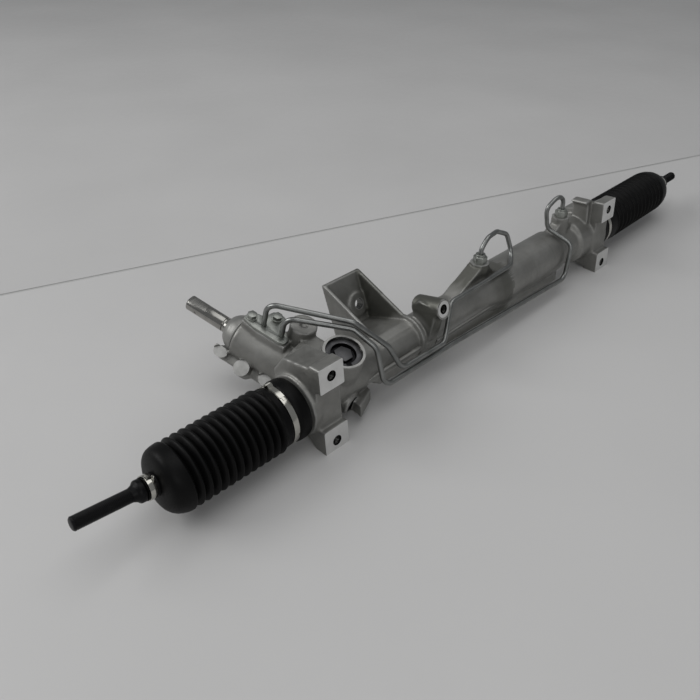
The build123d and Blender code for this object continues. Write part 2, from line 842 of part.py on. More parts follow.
with BuildPart() as tube_clamp_plate:
    with BuildSketch(seat_plane.offset(TUBE_SEAT)) as plate:
        with BuildLine():
            Polyline(
                (-9, 65),
                (2, 65),
                (7, 79),
                (13, 85),
                (25, 86),
                (27, 94),
                (24, 103),
                (11, 107),
                (7, 124),
                (-7, 124),
                (-11, 106),
                (-11, 72),
                close=True,
            )
        make_face()
        fillet(plate.vertices(), 3)
    extrude(amount=PLATE_THICK)
    for station in TUBE_STATIONS:
        ring(tube_frame(station), 0, TUBE_R + FIT, TUBE_SEAT - 1, TUBE_SEAT + 5, Mode.SUBTRACT)
    for station, side in SCREW_SPOTS:
        ring(tube_frame(station, side), 0, SCREW_R + 0.3, TUBE_SEAT - 1, TUBE_SEAT + 5, Mode.SUBTRACT)
save(tube_clamp_plate, "tube_clamp_plate")

with BuildPart() as clamp_screws:
    for station, side in SCREW_SPOTS:
        screw = tube_frame(station, side)
        ring(screw, 0, SCREW_R, 22, TUBE_SEAT + PLATE_THICK)
        ring(screw, 0, 6.6, TUBE_SEAT + PLATE_THICK, TUBE_SEAT + PLATE_THICK + 1.2)
        with BuildSketch(screw.offset(TUBE_SEAT + PLATE_THICK + 1)):
            RegularPolygon(5.8, 6)
        extrude(amount=4.5)
save(clamp_screws, "clamp_screws")

with BuildPart() as tube_seal_rings:
    for station in TUBE_STATIONS:
        ring(tube_frame(station), TUBE_R + 0.02, TUBE_BORE_R - 0.02, 26, 29)
save(tube_seal_rings, "tube_seal_rings")

# ---------------------------------------------------------------- rack bar and piston
BAR_NEAR_END = REST_OFFSET - BALL_FROM_MIDDLE + SOCKET_BACK
BAR_FAR_END = REST_OFFSET + BALL_FROM_MIDDLE - SOCKET_BACK
PISTON_START = PISTON_X - PISTON_WIDTH / 2
PISTON_END = PISTON_X + PISTON_WIDTH / 2
TOOTH_ROOT = RACK_TIP_HEIGHT - 2.25 * NORMAL_MODULE
TOOTHED = (-TRAVEL + REST_OFFSET - TOOTH_MARGIN, TRAVEL + REST_OFFSET + TOOTH_MARGIN)
STUD_R = 8.0
STUD_LENGTH = 15.0

# local X along the rack from the pinion crossing, local Y towards the pinion
tooth_frame = Plane(
    origin=RACK_ORIGIN + Vector(PINION_X, 0, 0), x_dir=(1, 0, 0), z_dir=YOKE_DIR.cross(Vector(1, 0, 0))
)


def gap_half_width(height):
    """Half the gap between two rack teeth at a height from the rack axis."""
    reference = RACK_TIP_HEIGHT - NORMAL_MODULE
    slope = math.radians(PRESSURE_ANGLE)
    return RACK_PITCH / 4 + (height - reference) * math.tan(slope) + TOOTH_CLEARANCE / math.cos(slope)


def comb():
    """Outline of everything the teeth leave free, gaps and the flat above the tips."""
    start, end = TOOTHED
    corners = [(start, BAR_R + 2), (start, RACK_TIP_HEIGHT)]
    first = math.ceil((start + 2.5) / RACK_PITCH)
    last = math.floor((end - 2.5) / RACK_PITCH)
    for index in range(first, last + 1):
        centre = index * RACK_PITCH
        wide = gap_half_width(RACK_TIP_HEIGHT)
        narrow = gap_half_width(TOOTH_ROOT)
        corners += [
            (centre - wide, RACK_TIP_HEIGHT),
            (centre - narrow, TOOTH_ROOT),
            (centre + narrow, TOOTH_ROOT),
            (centre + wide, RACK_TIP_HEIGHT),
        ]
    return corners + [(end, RACK_TIP_HEIGHT), (end, BAR_R + 2)]


with BuildPart() as rack_bar:
    turn(
        rack_frame,
        (0, BAR_NEAR_END + STUD_LENGTH),
        (STUD_R, BAR_NEAR_END + STUD_LENGTH),
        (STUD_R, BAR_NEAR_END),
        (BAR_R - 1, BAR_NEAR_END),
        (BAR_R, BAR_NEAR_END + 1),
        (BAR_R, PISTON_START),
        (BAR_FAR_R, PISTON_START),
        (BAR_FAR_R, PISTON_END + 0.1),
        (BAR_FAR_R - 1, PISTON_END + 0.1),
        (BAR_FAR_R - 1, PISTON_END + 1.7),
        (BAR_FAR_R, PISTON_END + 1.7),
        (BAR_FAR_R, BAR_FAR_END),
        (STUD_R, BAR_FAR_END),
        (STUD_R, BAR_FAR_END - STUD_LENGTH),
        (0, BAR_FAR_END - STUD_LENGTH),
    )
    with BuildSketch(tooth_frame) as tooth_gaps:
        with BuildLine():
            Polyline(*comb(), close=True)
        make_face()
    extrude(amount=20, both=True, mode=Mode.SUBTRACT)
save(rack_bar, "rack_bar")

with BuildPart() as piston:
    turn(
        rack_frame,
        (BAR_FAR_R + 0.03, PISTON_START),
        (CYLINDER_BORE_R - 0.4, PISTON_START),
        (CYLINDER_BORE_R - 0.4, PISTON_X - 2.5),
        (CYLINDER_BORE_R - 3.5, PISTON_X - 2.5),
        (CYLINDER_BORE_R - 3.5, PISTON_X + 2.5),
        (CYLINDER_BORE_R - 0.4, PISTON_X + 2.5),
        (CYLINDER_BORE_R - 0.4, PISTON_END),
        (BAR_FAR_R + 0.03, PISTON_END),
    )
save(piston, "piston")

with BuildPart() as piston_ring:
    ring(rack_frame, CYLINDER_BORE_R - 3.4, CYLINDER_BORE_R - FIT, PISTON_X - 2.45, PISTON_X + 2.45)
save(piston_ring, "piston_ring")

with BuildPart() as piston_snap_ring:
    ring(rack_frame, BAR_FAR_R - 0.95, BAR_FAR_R + 2, PISTON_END + 0.15, PISTON_END + 1.65)
save(piston_snap_ring, "piston_snap_ring")

# ---------------------------------------------------------------- pinion and valve
TRANSVERSE_ANGLE = math.atan(math.tan(math.radians(PRESSURE_ANGLE)) / SKEW_COS)
BASE_R = PITCH_R * math.cos(TRANSVERSE_ANGLE)
PINION_TIP_R = PITCH_R + (1 + PROFILE_SHIFT - TIP_SHORTENING) * NORMAL_MODULE
PINION_ROOT_R = PITCH_R + (PROFILE_SHIFT - 1.25) * NORMAL_MODULE
TWIST = math.tan(math.radians(PINION_SKEW)) / PITCH_R  # radians of helix per millimetre


def involute(angle):
    """Involute function of a pressure angle."""
    return math.tan(angle) - angle


def tooth_half_angle(radius):
    """Half the pinion tooth's angle at a radius; it stays the same below the base circle."""
    thickness = math.pi * NORMAL_MODULE / SKEW_COS / 2
    thickness += 2 * PROFILE_SHIFT * NORMAL_MODULE * math.tan(TRANSVERSE_ANGLE)
    at_pitch = thickness / 2 / PITCH_R + involute(TRANSVERSE_ANGLE)
    return at_pitch - involute(math.acos(min(1.0, BASE_R / radius)))


def pinion_corners(turned):
    """Corners of the toothed section, one tooth towards the rack when turned is zero."""
    radii = (PINION_ROOT_R, BASE_R, 9.2, PINION_TIP_R)
    corners = []
    for tooth in range(PINION_TEETH):
        middle = math.pi / 2 + turned - tooth * 2 * math.pi / PINION_TEETH
        flank = [(r, middle + tooth_half_angle(r)) for r in radii]
        flank += [(r, middle - tooth_half_angle(r)) for r in reversed(radii)]
        corners += [(r * math.cos(a), r * math.sin(a)) for r, a in flank]
    return corners


STEPS = 8
with BuildPart() as pinion:
    for step in range(STEPS + 1):
        station = -GEAR_HALF_WIDTH + step * 2 * GEAR_HALF_WIDTH / STEPS
        with BuildSketch(tower_frame.offset(station)) as section:
            with BuildLine():
                Polyline(*pinion_corners(station * TWIST), close=True)
            make_face()
    loft(ruled=True)
    ring(tower_frame, 0, PINION_STUB_R, -27, -GEAR_HALF_WIDTH + 0.5)
    turn(
        tower_frame,
        (0, GEAR_HALF_WIDTH - 0.5),
        (6.6, GEAR_HALF_WIDTH - 0.5),
        (6.6, 21),
        (PINION_JOURNAL_R, 23),
        (PINION_JOURNAL_R, 38),
        (14, 38),
        (14, 46),
        (SLEEVE_R - 1, 46),
        (SLEEVE_R - 1, 50),
        (5, 50),
        (5, 22),
        (0, 22),
    )
save(pinion, "pinion")
RING_STATIONS = (56.0, 67.0, 87.5, 107.0)

with BuildPart() as valve_sleeve:
    ring(tower_frame, SPOOL_R + FIT, SLEEVE_R, 50, 112)
    for station in RING_STATIONS:
        ring(tower_frame, SLEEVE_R - 1.2, SLEEVE_R + 1, station - 1.25, station + 1.25, Mode.SUBTRACT)
    for station in (61.5, TUBE_STATIONS[1], TUBE_STATIONS[0]):
        ring(tower_frame, SLEEVE_R - 1, SLEEVE_R + 1, station - 2, station + 2, Mode.SUBTRACT)
save(valve_sleeve, "valve_sleeve")

with BuildPart() as sleeve_rings:
    for station in RING_STATIONS:
        ring(tower_frame, SLEEVE_R - 1.15, TOWER_BORE_R - 0.06, station - 1.2, station + 1.2)
save(sleeve_rings, "sleeve_rings")

with BuildPart() as input_shaft:
    turn(
        tower_frame,
        (4, 51),
        (SPOOL_R, 51),
        (SPOOL_R, 110),
        (JOURNAL_R, 112),
        (JOURNAL_R, 149),
        (SHAFT_R - 1.2, 149.5),
        (SHAFT_R - 1.2, 151.5),
        (SHAFT_R, 152),
        (SHAFT_R, SHAFT_TOP - 1.2),
        (SHAFT_R - 1.2, SHAFT_TOP),
        (4, SHAFT_TOP),
    )
    # flats that take the steering column's joint
    for side in (1, -1):
        with BuildSketch(tower_frame.offset(179)):
            with Locations((0, side * 12.4)):
                Rectangle(24, 10)
        extrude(amount=40, mode=Mode.SUBTRACT)
    # control grooves of the rotary valve
    for index in range(6):
        angle = index * math.pi / 3
        with BuildSketch(tower_frame.offset(70)):
            with Locations((SPOOL_R * math.cos(angle), SPOOL_R * math.sin(angle))):
                Circle(1.6)
        extrude(amount=26, mode=Mode.SUBTRACT)
    drill = Plane(origin=tower_point(190), x_dir=PINION_DIR, z_dir=tower_frame.x_dir)
    ring(drill, 0, PIN_R, -12, 12, Mode.SUBTRACT)
save(input_shaft, "input_shaft")

with BuildPart() as torsion_bar:
    turn(
        tower_frame,
        (0, 23),
        (4.9, 23),
        (4.9, 46),
        (2.9, 49),
        (2.9, 176),
        (3.9, 178),
        (3.9, 204),
        (0, 204),
    )
    ring(drill, 0, PIN_R, -12, 12, Mode.SUBTRACT)
save(torsion_bar, "torsion_bar")

with BuildPart() as drive_pin:
    ring(drill, 0, PIN_R - 0.02, -9, 9)
save(drive_pin, "drive_pin")

# ---------------------------------------------------------------- ball joints and tie rods
near_ball = RACK_ORIGIN + Vector(REST_OFFSET - BALL_FROM_MIDDLE, 0, 0)
far_ball = RACK_ORIGIN + Vector(REST_OFFSET + BALL_FROM_MIDDLE, 0, 0)
lift = math.radians(NEAR_ROD_LIFT)
near_end_frame = Plane(origin=near_ball, x_dir=(0, 1, 0), z_dir=(-1, 0, 0))
far_end_frame = Plane(origin=far_ball, x_dir=(0, 1, 0), z_dir=(1, 0, 0))
near_rod_frame = Plane(origin=near_ball, x_dir=(0, 1, 0), z_dir=(-math.cos(lift), 0, math.sin(lift)))
LINER_R = 15.6
LINER_END = 5.4


def ball_socket(frame, name):
    """Socket screwed into the bar's end, its lip rolled over the liner."""
    with BuildPart() as socket:
        turn(
            frame,
            (0, -SOCKET_BACK - STUD_LENGTH + 0.5),
            (STUD_R - FIT, -SOCKET_BACK - STUD_LENGTH + 0.5),
            (STUD_R - FIT, -SOCKET_BACK),
            (SOCKET_R - 1, -SOCKET_BACK),
            (SOCKET_R, -SOCKET_BACK + 1),
            (SOCKET_R, 3),
            (SOCKET_R - 2, SOCKET_LIP),
            (13.2, SOCKET_LIP),
            (13.2, LINER_END + 0.1),
            (LINER_R + FIT, LINER_END + 0.1),
            (LINER_R + FIT, -17),
            (0, -17),
        )
        for side in (1, -1):
            with BuildSketch(frame.offset(-SOCKET_BACK + 2)):
                with Locations((0, side * 21.4)):
                    Rectangle(40, 10)
            extrude(amount=9, mode=Mode.SUBTRACT)
    save(socket, name)


def socket_liner(frame, name):
    """Polymer cup between the ball and its socket."""
    with BuildPart() as cup:
        ring(frame, 0, LINER_R, -16.9, LINER_END)
        with Locations(frame):
            Sphere(BALL_R + FIT, mode=Mode.SUBTRACT)
    save(cup, name)


def tie_rod(frame, seat_start, seat_end, name):
    """Ball, neck, boot seat, collar and the threaded end for the outer joint."""
    with BuildPart() as rod:
        with Locations(frame):
            Sphere(BALL_R)
        turn(
            frame,
            (0, 8),
            (NECK_R, 8),
            (NECK_R, 24),
            (ROD_R, 28),
            (ROD_R, seat_start - 2),
            (BOOT_SEAT_R, seat_start),
            (BOOT_SEAT_R, seat_end),
            (ROD_COLLAR_R, seat_end + 0.6),
            (ROD_COLLAR_R, seat_end + 5.5),
            (ROD_R + 0.6, seat_end + 8),
            (THREAD_R, seat_end + 12),
            (THREAD_R, ROD_LENGTH - 1.5),
            (THREAD_R - 1.5, ROD_LENGTH),
            (0, ROD_LENGTH),
        )
    save(rod, name)


NEAR_SEAT = (49.0, 66.5)
FAR_SEAT = (73.0, 89.5)
ball_socket(near_end_frame, "near_ball_socket")
ball_socket(far_end_frame, "far_ball_socket")
socket_liner(near_end_frame, "near_socket_liner")
socket_liner(far_end_frame, "far_socket_liner")
tie_rod(near_rod_frame, *NEAR_SEAT, "near_tie_rod")
tie_rod(far_end_frame, *FAR_SEAT, "far_tie_rod")

# ---------------------------------------------------------------- boots, bands and clips
SEAT_GAP_R = BOOT_SEAT_R + SOFT_GAP
near_boot_frame = Plane(
    origin=RACK_ORIGIN - Vector(BOOT_START_X, 0, 0), x_dir=(0, 1, 0), z_dir=(-140, 0, NEAR_BOOT_RISE)
)
far_boot_frame = Plane(
    origin=RACK_ORIGIN + Vector(BOOT_START_X, 0, 0), x_dir=(0, 1, 0), z_dir=(1, 0, 0)
)


def zigzag(first, pitch, crest_r, thinner):
    """Crests and valleys of a bellows as (radius, station), ending on the last crest."""
    corners = [(crest_r - CREST_DEPTH - thinner, first - pitch / 2)]
    for index in range(CRESTS):
        corners.append((crest_r - thinner, first + index * pitch))
        if index < CRESTS - 1:
            corners.append((crest_r - CREST_DEPTH - thinner, first + (index + 0.5) * pitch))
    return corners


def bellows(frame, first, pitch, crest_r, cone, thinner, mode=Mode.ADD):
    """Solid bellows with its closing cone; thinner is taken off every radius."""
    corners = zigzag(first, pitch, crest_r, thinner)
    corners += [(radius - thinner, station) for radius, station in cone]
    turn(frame, (0, corners[0][1]), *corners, (0, corners[-1][1]), mode=mode)


near_cone = ((36.0, 126.0), (30.0, 132.5), (15.0, 138.0), (12.5, 140.5))
with BuildPart() as near_boot:
    ring(rack_frame, 0, NEAR_CUFF_R, -346, -307.5)
    bellows(near_boot_frame, 8, NEAR_PITCH, NEAR_CREST_R, near_cone, 0)
    ring(near_rod_frame, 0, BOOT_NECK_R, NEAR_SEAT[0] - 1, NEAR_SEAT[1] - 0.5)
    ring(rack_frame, 0, COLLAR_R + 0.02, -331, -300, Mode.SUBTRACT)
    ring(rack_frame, 0, 30, -345, -330, Mode.SUBTRACT)
    bellows(near_boot_frame, 8, NEAR_PITCH, NEAR_CREST_R, near_cone[:3], BOOT_WALL, Mode.SUBTRACT)
    ring(near_rod_frame, 0, SEAT_GAP_R, NEAR_SEAT[0] - 5, NEAR_SEAT[1] + 1, Mode.SUBTRACT)
save(near_boot, "near_boot")

far_first = FAR_FIRST_CREST - BOOT_START_X
far_cone = ((33.5, far_first + 12 * FAR_PITCH + 6), (26.0, 186), (15.0, 194.5), (12.0, 202))
with BuildPart() as far_boot:
    ring(rack_frame, 0, FAR_CUFF_R, 304, 342)
    bellows(far_boot_frame, far_first, FAR_PITCH, FAR_CREST_R, far_cone, 0)
    ring(far_end_frame, 0, BOOT_NECK_R, FAR_SEAT[0], FAR_SEAT[1] - 0.5)
    ring(rack_frame, 0, COLLAR_R + 0.02, 300, 331, Mode.SUBTRACT)
    ring(rack_frame, 0, 27, 330, 343, Mode.SUBTRACT)
    bellows(far_boot_frame, far_first, FAR_PITCH, FAR_CREST_R, far_cone[:3], BOOT_WALL, Mode.SUBTRACT)
    ring(far_end_frame, 0, SEAT_GAP_R, FAR_SEAT[0] - 8, FAR_SEAT[1] + 1, Mode.SUBTRACT)
save(far_boot, "far_boot")


def boot_band(station, cuff_r, name):
    """Steel band round the boot's cuff, with the pinched ear that tightens it."""
    turned = math.radians(BAND_EAR_ANGLE)
    out = cuff_r + 0.6
    ear_point = (RACK_ORIGIN.Y + out * math.cos(turned), RACK_ORIGIN.Z + out * math.sin(turned))
    with BuildPart() as band:
        ring(rack_frame, cuff_r + 0.1, cuff_r + 0.9, station - BAND_WIDTH / 2, station + BAND_WIDTH / 2)
        with BuildSketch(Plane.YZ.offset(station - BAND_WIDTH / 2 + 0.5)):
            with Locations(ear_point):
                Rectangle(8, 4.5, rotation=BAND_EAR_ANGLE)
        extrude(amount=BAND_WIDTH - 1)
        ring(rack_frame, 0, cuff_r + 0.1, station - 20, station + 20, Mode.SUBTRACT)
    save(band, name)


boot_band(BAND_X[0], NEAR_CUFF_R, "near_boot_band")
boot_band(BAND_X[1], FAR_CUFF_R, "far_boot_band")


def boot_clip(frame, station, name):
    """Spring clip round the boot's small end, with its two finger tabs."""
    with BuildPart() as clip:
        ring(frame, BOOT_NECK_R + SOFT_GAP, BOOT_NECK_R + 1.5, station - 3.5, station + 3.5)
        for side in (-1, 1):
            with BuildSketch(frame.offset(station + side * 2.2 - 0.8)):
                with Locations((side * 2.5 - 6, -13.5)):
                    Rectangle(3, 7, rotation=side * 8)
            extrude(amount=1.6)
        ring(frame, 0, BOOT_NECK_R + SOFT_GAP, station - 9, station + 9, Mode.SUBTRACT)
    save(clip, name)


boot_clip(near_rod_frame, NEAR_SEAT[1] - 5.5, "near_boot_clip")
boot_clip(far_end_frame, FAR_SEAT[1] - 5, "far_boot_clip")
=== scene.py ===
# %% [markdown]
# # Hydraulic power steering rack
#
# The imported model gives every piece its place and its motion. This script keeps that frame and
# rebuilds what an eye would stop at: the cast housing with its fillets and machined faces, the
# folded rubber boots, threads, key recesses, bands and clips. Everything is in metres.

# %% Load the frame
import json
import math
import bmesh
import bpy
from mathutils import Matrix, Vector


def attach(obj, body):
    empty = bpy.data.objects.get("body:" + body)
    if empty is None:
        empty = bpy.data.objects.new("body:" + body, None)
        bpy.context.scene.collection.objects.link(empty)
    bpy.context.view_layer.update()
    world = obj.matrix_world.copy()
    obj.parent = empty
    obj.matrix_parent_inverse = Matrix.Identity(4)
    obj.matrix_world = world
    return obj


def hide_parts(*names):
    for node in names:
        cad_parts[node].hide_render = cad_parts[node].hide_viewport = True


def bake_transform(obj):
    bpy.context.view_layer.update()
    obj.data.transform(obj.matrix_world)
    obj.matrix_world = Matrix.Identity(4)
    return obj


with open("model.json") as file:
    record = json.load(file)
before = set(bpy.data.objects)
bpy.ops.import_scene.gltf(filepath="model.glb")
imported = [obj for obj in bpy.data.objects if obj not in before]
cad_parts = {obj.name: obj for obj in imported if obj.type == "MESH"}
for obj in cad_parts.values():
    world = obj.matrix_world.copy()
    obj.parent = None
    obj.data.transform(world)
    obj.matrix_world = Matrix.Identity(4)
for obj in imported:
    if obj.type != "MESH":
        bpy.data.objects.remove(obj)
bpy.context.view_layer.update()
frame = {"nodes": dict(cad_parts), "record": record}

NODES = frame["nodes"]
MM = 0.001

# %% [markdown]
# ## Directions
#
# Four axes carry the whole object. The rack axis lies along X. The pinion axis leans back and up
# from it, the yoke axis stands square to both, and the near tie rod tilts up a little.
# A frame here is a 4 x 4 matrix whose third column is the axis a piece is turned about.

# %% Axes of the object
RACK_Y, RACK_Z = 43.6, -4.5
PINION_X, YOKE_X = -246.5, -242
PINION_DEPTH = 16.54  # from the rack axis to the pinion axis, in millimetres
NEAR_BALL_X, FAR_BALL_X = -425, 467
RISE = math.radians(22)  # of the pinion above level
SKEW = math.radians(14.9)  # of the pinion from square to the rack
ROD_LIFT = math.radians(6.6)  # of the near tie rod
PORT_TILT = math.radians(5)  # of the cylinder's ports towards the front
ALONG_X = Vector((1, 0, 0))
ALONG_Y = Vector((0, 1, 0))
RACK = Vector((0, RACK_Y, RACK_Z)) * MM
PINION_DIR = Vector(
    (-math.sin(SKEW), math.cos(SKEW) * math.cos(RISE), math.cos(SKEW) * math.sin(RISE))
)
YOKE_DIR = Vector((0, -math.sin(RISE), math.cos(RISE)))
PINION_FOOT = Vector((PINION_X, RACK_Y, RACK_Z)) * MM - YOKE_DIR * PINION_DEPTH * MM


def axes(origin, along, across):
    """Frame with its third axis along a direction and its first as near as can be to another."""
    z = along.normalized()
    x = (across - z * across.dot(z)).normalized()
    y = z.cross(x)
    turned = Matrix((x, y, z)).transposed().to_4x4()
    return Matrix.Translation(origin) @ turned


def rack_point(x):
    """The point of the rack axis at an x in millimetres."""
    return RACK + Vector((x * MM, 0, 0))


NEAR_BALL = rack_point(NEAR_BALL_X)
FAR_BALL = rack_point(FAR_BALL_X)
RACK_AXES = axes(RACK, ALONG_X, ALONG_Y)
TOWER_AXES = axes(PINION_FOOT, PINION_DIR, -PINION_DIR.cross(YOKE_DIR))
YOKE_AXES = axes(rack_point(YOKE_X), YOKE_DIR, ALONG_X)
NEAR_ROD_AXES = axes(NEAR_BALL, Vector((-math.cos(ROD_LIFT), 0, math.sin(ROD_LIFT))), ALONG_Y)
FAR_ROD_AXES = axes(FAR_BALL, ALONG_X, ALONG_Y)


def port_axes(x):
    """Frame of one cylinder port, its third axis out of the port."""
    return axes(rack_point(x), Vector((0, -math.sin(PORT_TILT), math.cos(PORT_TILT))), ALONG_X)


print("pinion", [round(v, 4) for v in PINION_DIR], "yoke", [round(v, 4) for v in YOKE_DIR])

# %% [markdown]
# ## Mesh helpers
#
# Most pieces here come off a lathe, so a piece is a profile of (radius, station) points in
# millimetres, spun about its frame's axis. Edges sharper than a set angle stay crisp.

# %% Turned pieces
SAME_POINT = 1e-6  # metres, within which vertices are one


def shade(piece, sharp=35):
    """Smooth shading that breaks at edges sharper than an angle in degrees."""
    piece.data.shade_smooth()
    piece.data.set_sharp_from_angle(angle=math.radians(sharp))


def linked(name, data):
    """A new object in the scene."""
    made = bpy.data.objects.new(name, data)
    bpy.context.scene.collection.objects.link(made)
    return made


def finish_mesh(builder, name, sharp=35):
    """Turns a bmesh into a linked object with consistent normals and crisp edges."""
    bmesh.ops.remove_doubles(builder, verts=builder.verts, dist=SAME_POINT)
    bmesh.ops.recalc_face_normals(builder, faces=builder.faces)
    data = bpy.data.meshes.new(name)
    builder.to_mesh(data)
    builder.free()
    piece = linked(name, data)
    shade(piece, sharp)
    return piece


def spin_profile(builder, profile, place, steps=96):
    """Adds a turned surface to a bmesh from (radius, station) points in millimetres."""
    before = set(builder.verts)
    points = [builder.verts.new((max(r, 0) * MM, 0, s * MM)) for r, s in profile]
    edges = [builder.edges.new(pair) for pair in zip(points, points[1:])]
    bmesh.ops.spin(
        builder, geom=points + edges, cent=(0, 0, 0), axis=(0, 0, 1), angle=math.tau,
        steps=steps, use_merge=True, use_duplicate=False,
    )
    fresh = [vert for vert in builder.verts if vert not in before]
    bmesh.ops.remove_doubles(builder, verts=fresh, dist=SAME_POINT / 10)
    fresh = [vert for vert in builder.verts if vert not in before]
    bmesh.ops.transform(builder, matrix=place, verts=fresh)


def lathe(name, profile, place, steps=96, sharp=35):
    """A turned piece from its half section."""
    builder = bmesh.new()
    spin_profile(builder, profile, place, steps)
    return finish_mesh(builder, name, sharp)


def rounded(profile, radius, parts=4):
    """Rounds every inner corner of an open profile by up to a radius in millimetres."""
    result = [profile[0]]
    for before, corner, after in zip(profile, profile[1:], profile[2:]):
        a = Vector(before) - Vector(corner)
        b = Vector(after) - Vector(corner)
        reach = min(radius, a.length * 0.45, b.length * 0.45)
        start = Vector(corner) + a.normalized() * reach
        end = Vector(corner) + b.normalized() * reach
        for index in range(parts + 1):
            t = index / parts
            point = start * (1 - t) ** 2 + Vector(corner) * 2 * t * (1 - t) + end * t**2
            result.append((point.x, point.y))
    result.append(profile[-1])
    return result


print("a rounded corner takes", len(rounded([(0, 0), (1, 0), (1, 1)], 0.2)) - 2, "points")

# %% [markdown]
# Small pressed and milled parts have the right shape in the CAD model, but no real edge is as
# sharp. A bevel on the edges that turn by a clear angle is enough.

# %% CAD nodes with their edges broken
def merged_copy(node):
    """A bmesh of a CAD node with its loose triangles joined."""
    builder = bmesh.new()
    builder.from_mesh(NODES[node].data)
    bmesh.ops.remove_doubles(builder, verts=builder.verts, dist=SAME_POINT)
    bmesh.ops.recalc_face_normals(builder, faces=builder.faces)
    return builder


def bevelled(name, node, width, turn=30):
    """A copy of a CAD node with a small bevel on every edge that turns by enough degrees."""
    builder = merged_copy(node)
    bmesh.ops.dissolve_limit(
        builder, angle_limit=math.radians(1), verts=builder.verts, edges=builder.edges
    )
    keen = [edge for edge in builder.edges if len(edge.link_faces) == 2]
    keen = [edge for edge in keen if edge.calc_face_angle() > math.radians(turn)]
    bmesh.ops.bevel(
        builder, geom=keen, offset=width * MM, offset_type="OFFSET", affect="EDGES",
        segments=2, profile=0.5, material=-1, clamp_overlap=True,
    )
    return finish_mesh(builder, name, 40)


# %% [markdown]
# ## Finishes
#
# What tells the parts apart is how they were made: cast, turned, milled, plated or moulded.
# Each finish is a Principled shader fed by noise in object coordinates. The pieces stand at the
# origin unturned, so the grain keeps its real size.

# %% Node helpers
class Finish:
    """One procedural material under construction."""

    def __init__(self, name, colour, metallic, roughness, **constants):
        self.material = bpy.data.materials.new(name)
        self.material.use_nodes = True
        self.tree = self.material.node_tree
        self.shader = self.tree.nodes["Principled BSDF"]
        self.shader.inputs["Base Color"].default_value = (*colour, 1)
        self.shader.inputs["Metallic"].default_value = metallic
        self.shader.inputs["Roughness"].default_value = roughness
        for socket, value in constants.items():
            self.shader.inputs[socket].default_value = value
        self.place = self.tree.nodes.new("ShaderNodeTexCoord").outputs["Object"]
        self.normal = None

    def node(self, kind, **values):
        made = self.tree.nodes.new(kind)
        for key, value in values.items():
            setattr(made, key, value)
        return made

    def link(self, source, target):
        self.tree.links.new(source, target)

    def stretched(self, stretch, turn=(0, 0, 0)):
        """Coordinates scaled by three factors, so that noise runs out into streaks."""
        mapping = self.node("ShaderNodeMapping")
        mapping.inputs["Scale"].default_value = stretch
        mapping.inputs["Rotation"].default_value = turn
        self.link(self.place, mapping.inputs["Vector"])
        return mapping.outputs["Vector"]

    def grain(self, scale, detail, rough, place=None):
        """Noise between 0 and 1."""
        made = self.node("ShaderNodeTexNoise")
        made.inputs["Scale"].default_value = scale
        made.inputs["Detail"].default_value = detail
        made.inputs["Roughness"].default_value = rough
        self.link(place or self.place, made.inputs["Vector"])
        return made.outputs["Fac"]

    def marked(self, name, most):
        """A mesh attribute between 0 and 1, scaled to the most that it may count."""
        made = self.node("ShaderNodeAttribute", attribute_name=name)
        return self.span(made.outputs["Fac"], 0.0, 1.0, 0, most)

    def span(self, source, low_in, high_in, low_out=0.0, high_out=1.0):
        """Maps a value range to another, clamped."""
        made = self.node("ShaderNodeMapRange")
        made.inputs["From Min"].default_value = low_in
        made.inputs["From Max"].default_value = high_in
        made.inputs["To Min"].default_value = low_out
        made.inputs["To Max"].default_value = high_out
        self.link(source, made.inputs["Value"])
        return made.outputs["Result"]

    def mix(self, factor, a, b):
        """Colour mix; a and b are colours or sockets."""
        made = self.node("ShaderNodeMix", data_type="RGBA")
        self.link(factor, made.inputs[0])
        for socket, value in ((made.inputs[6], a), (made.inputs[7], b)):
            if isinstance(value, tuple):
                socket.default_value = (*value, 1)
            else:
                self.link(value, socket)
        return made.outputs[2]

    def colour(self, source):
        self.link(source, self.shader.inputs["Base Color"])

    def roughness(self, source):
        self.link(source, self.shader.inputs["Roughness"])

    def bump(self, height, strength, distance):
        """Adds one bump on top of those already there."""
        made = self.node("ShaderNodeBump")
        made.inputs["Strength"].default_value = strength
        made.inputs["Distance"].default_value = distance
        self.link(height, made.inputs["Height"])
        if self.normal is not None:
            self.link(self.normal, made.inputs["Normal"])
        self.normal = made.outputs["Normal"]
        self.link(self.normal, self.shader.inputs["Normal"])


# %% [markdown]
# Aluminium looks four ways here. The cast skin is dull and stained, with painted shade in its
# hollows and on the ear, the pocket's far wall and the fin, and a painted highlight on its ridges.
# The cylinder was turned, the pads were milled, and the rims were faced by a coarse cutter. Noise
# stretched along one axis gives the marks of each tool.

# %% Cast and machined aluminium
def cast_aluminium():
    """Matt, slightly warm casting skin: grain, stains, painted shade in hollows and on the ear,
    pocket and fin, and a painted highlight on edges.
    """
    f = Finish("cast aluminium skin", (0.3, 0.3, 0.28), 0.75, 0.5)
    stain = f.grain(22, 4, 0.6)
    mottle = f.grain(160, 3, 0.6)
    tone = f.mix(f.span(stain, 0.35, 0.65), (0.215, 0.213, 0.2), (0.295, 0.293, 0.278))
    tone = f.mix(f.span(mottle, 0.4, 0.75, 0, 0.35), tone, (0.27, 0.268, 0.255))
    # painted shade: the ear, the pocket's far wall and the fin are darkened
    tone = f.mix(f.marked("painted_shade_zone", 0.8), tone, (0.085, 0.086, 0.072))
    # painted shade: hollows of the skin are darkened
    tone = f.mix(f.marked("painted_hollow_shade", 0.75), tone, (0.055, 0.053, 0.047))
    # painted highlight: ridges of the skin are lightened
    tone = f.mix(f.marked("painted_ridge_highlight", 0.65), tone, (0.47, 0.47, 0.46))
    f.colour(tone)
    f.roughness(f.span(mottle, 0.3, 0.7, 0.40, 0.58))
    f.bump(f.grain(1300, 2, 0.6), 0.3, 0.00025)
    f.bump(f.grain(300, 3, 0.55), 0.18, 0.0005)
    f.bump(f.grain(45, 2, 0.5), 0.08, 0.0014)
    return f.material


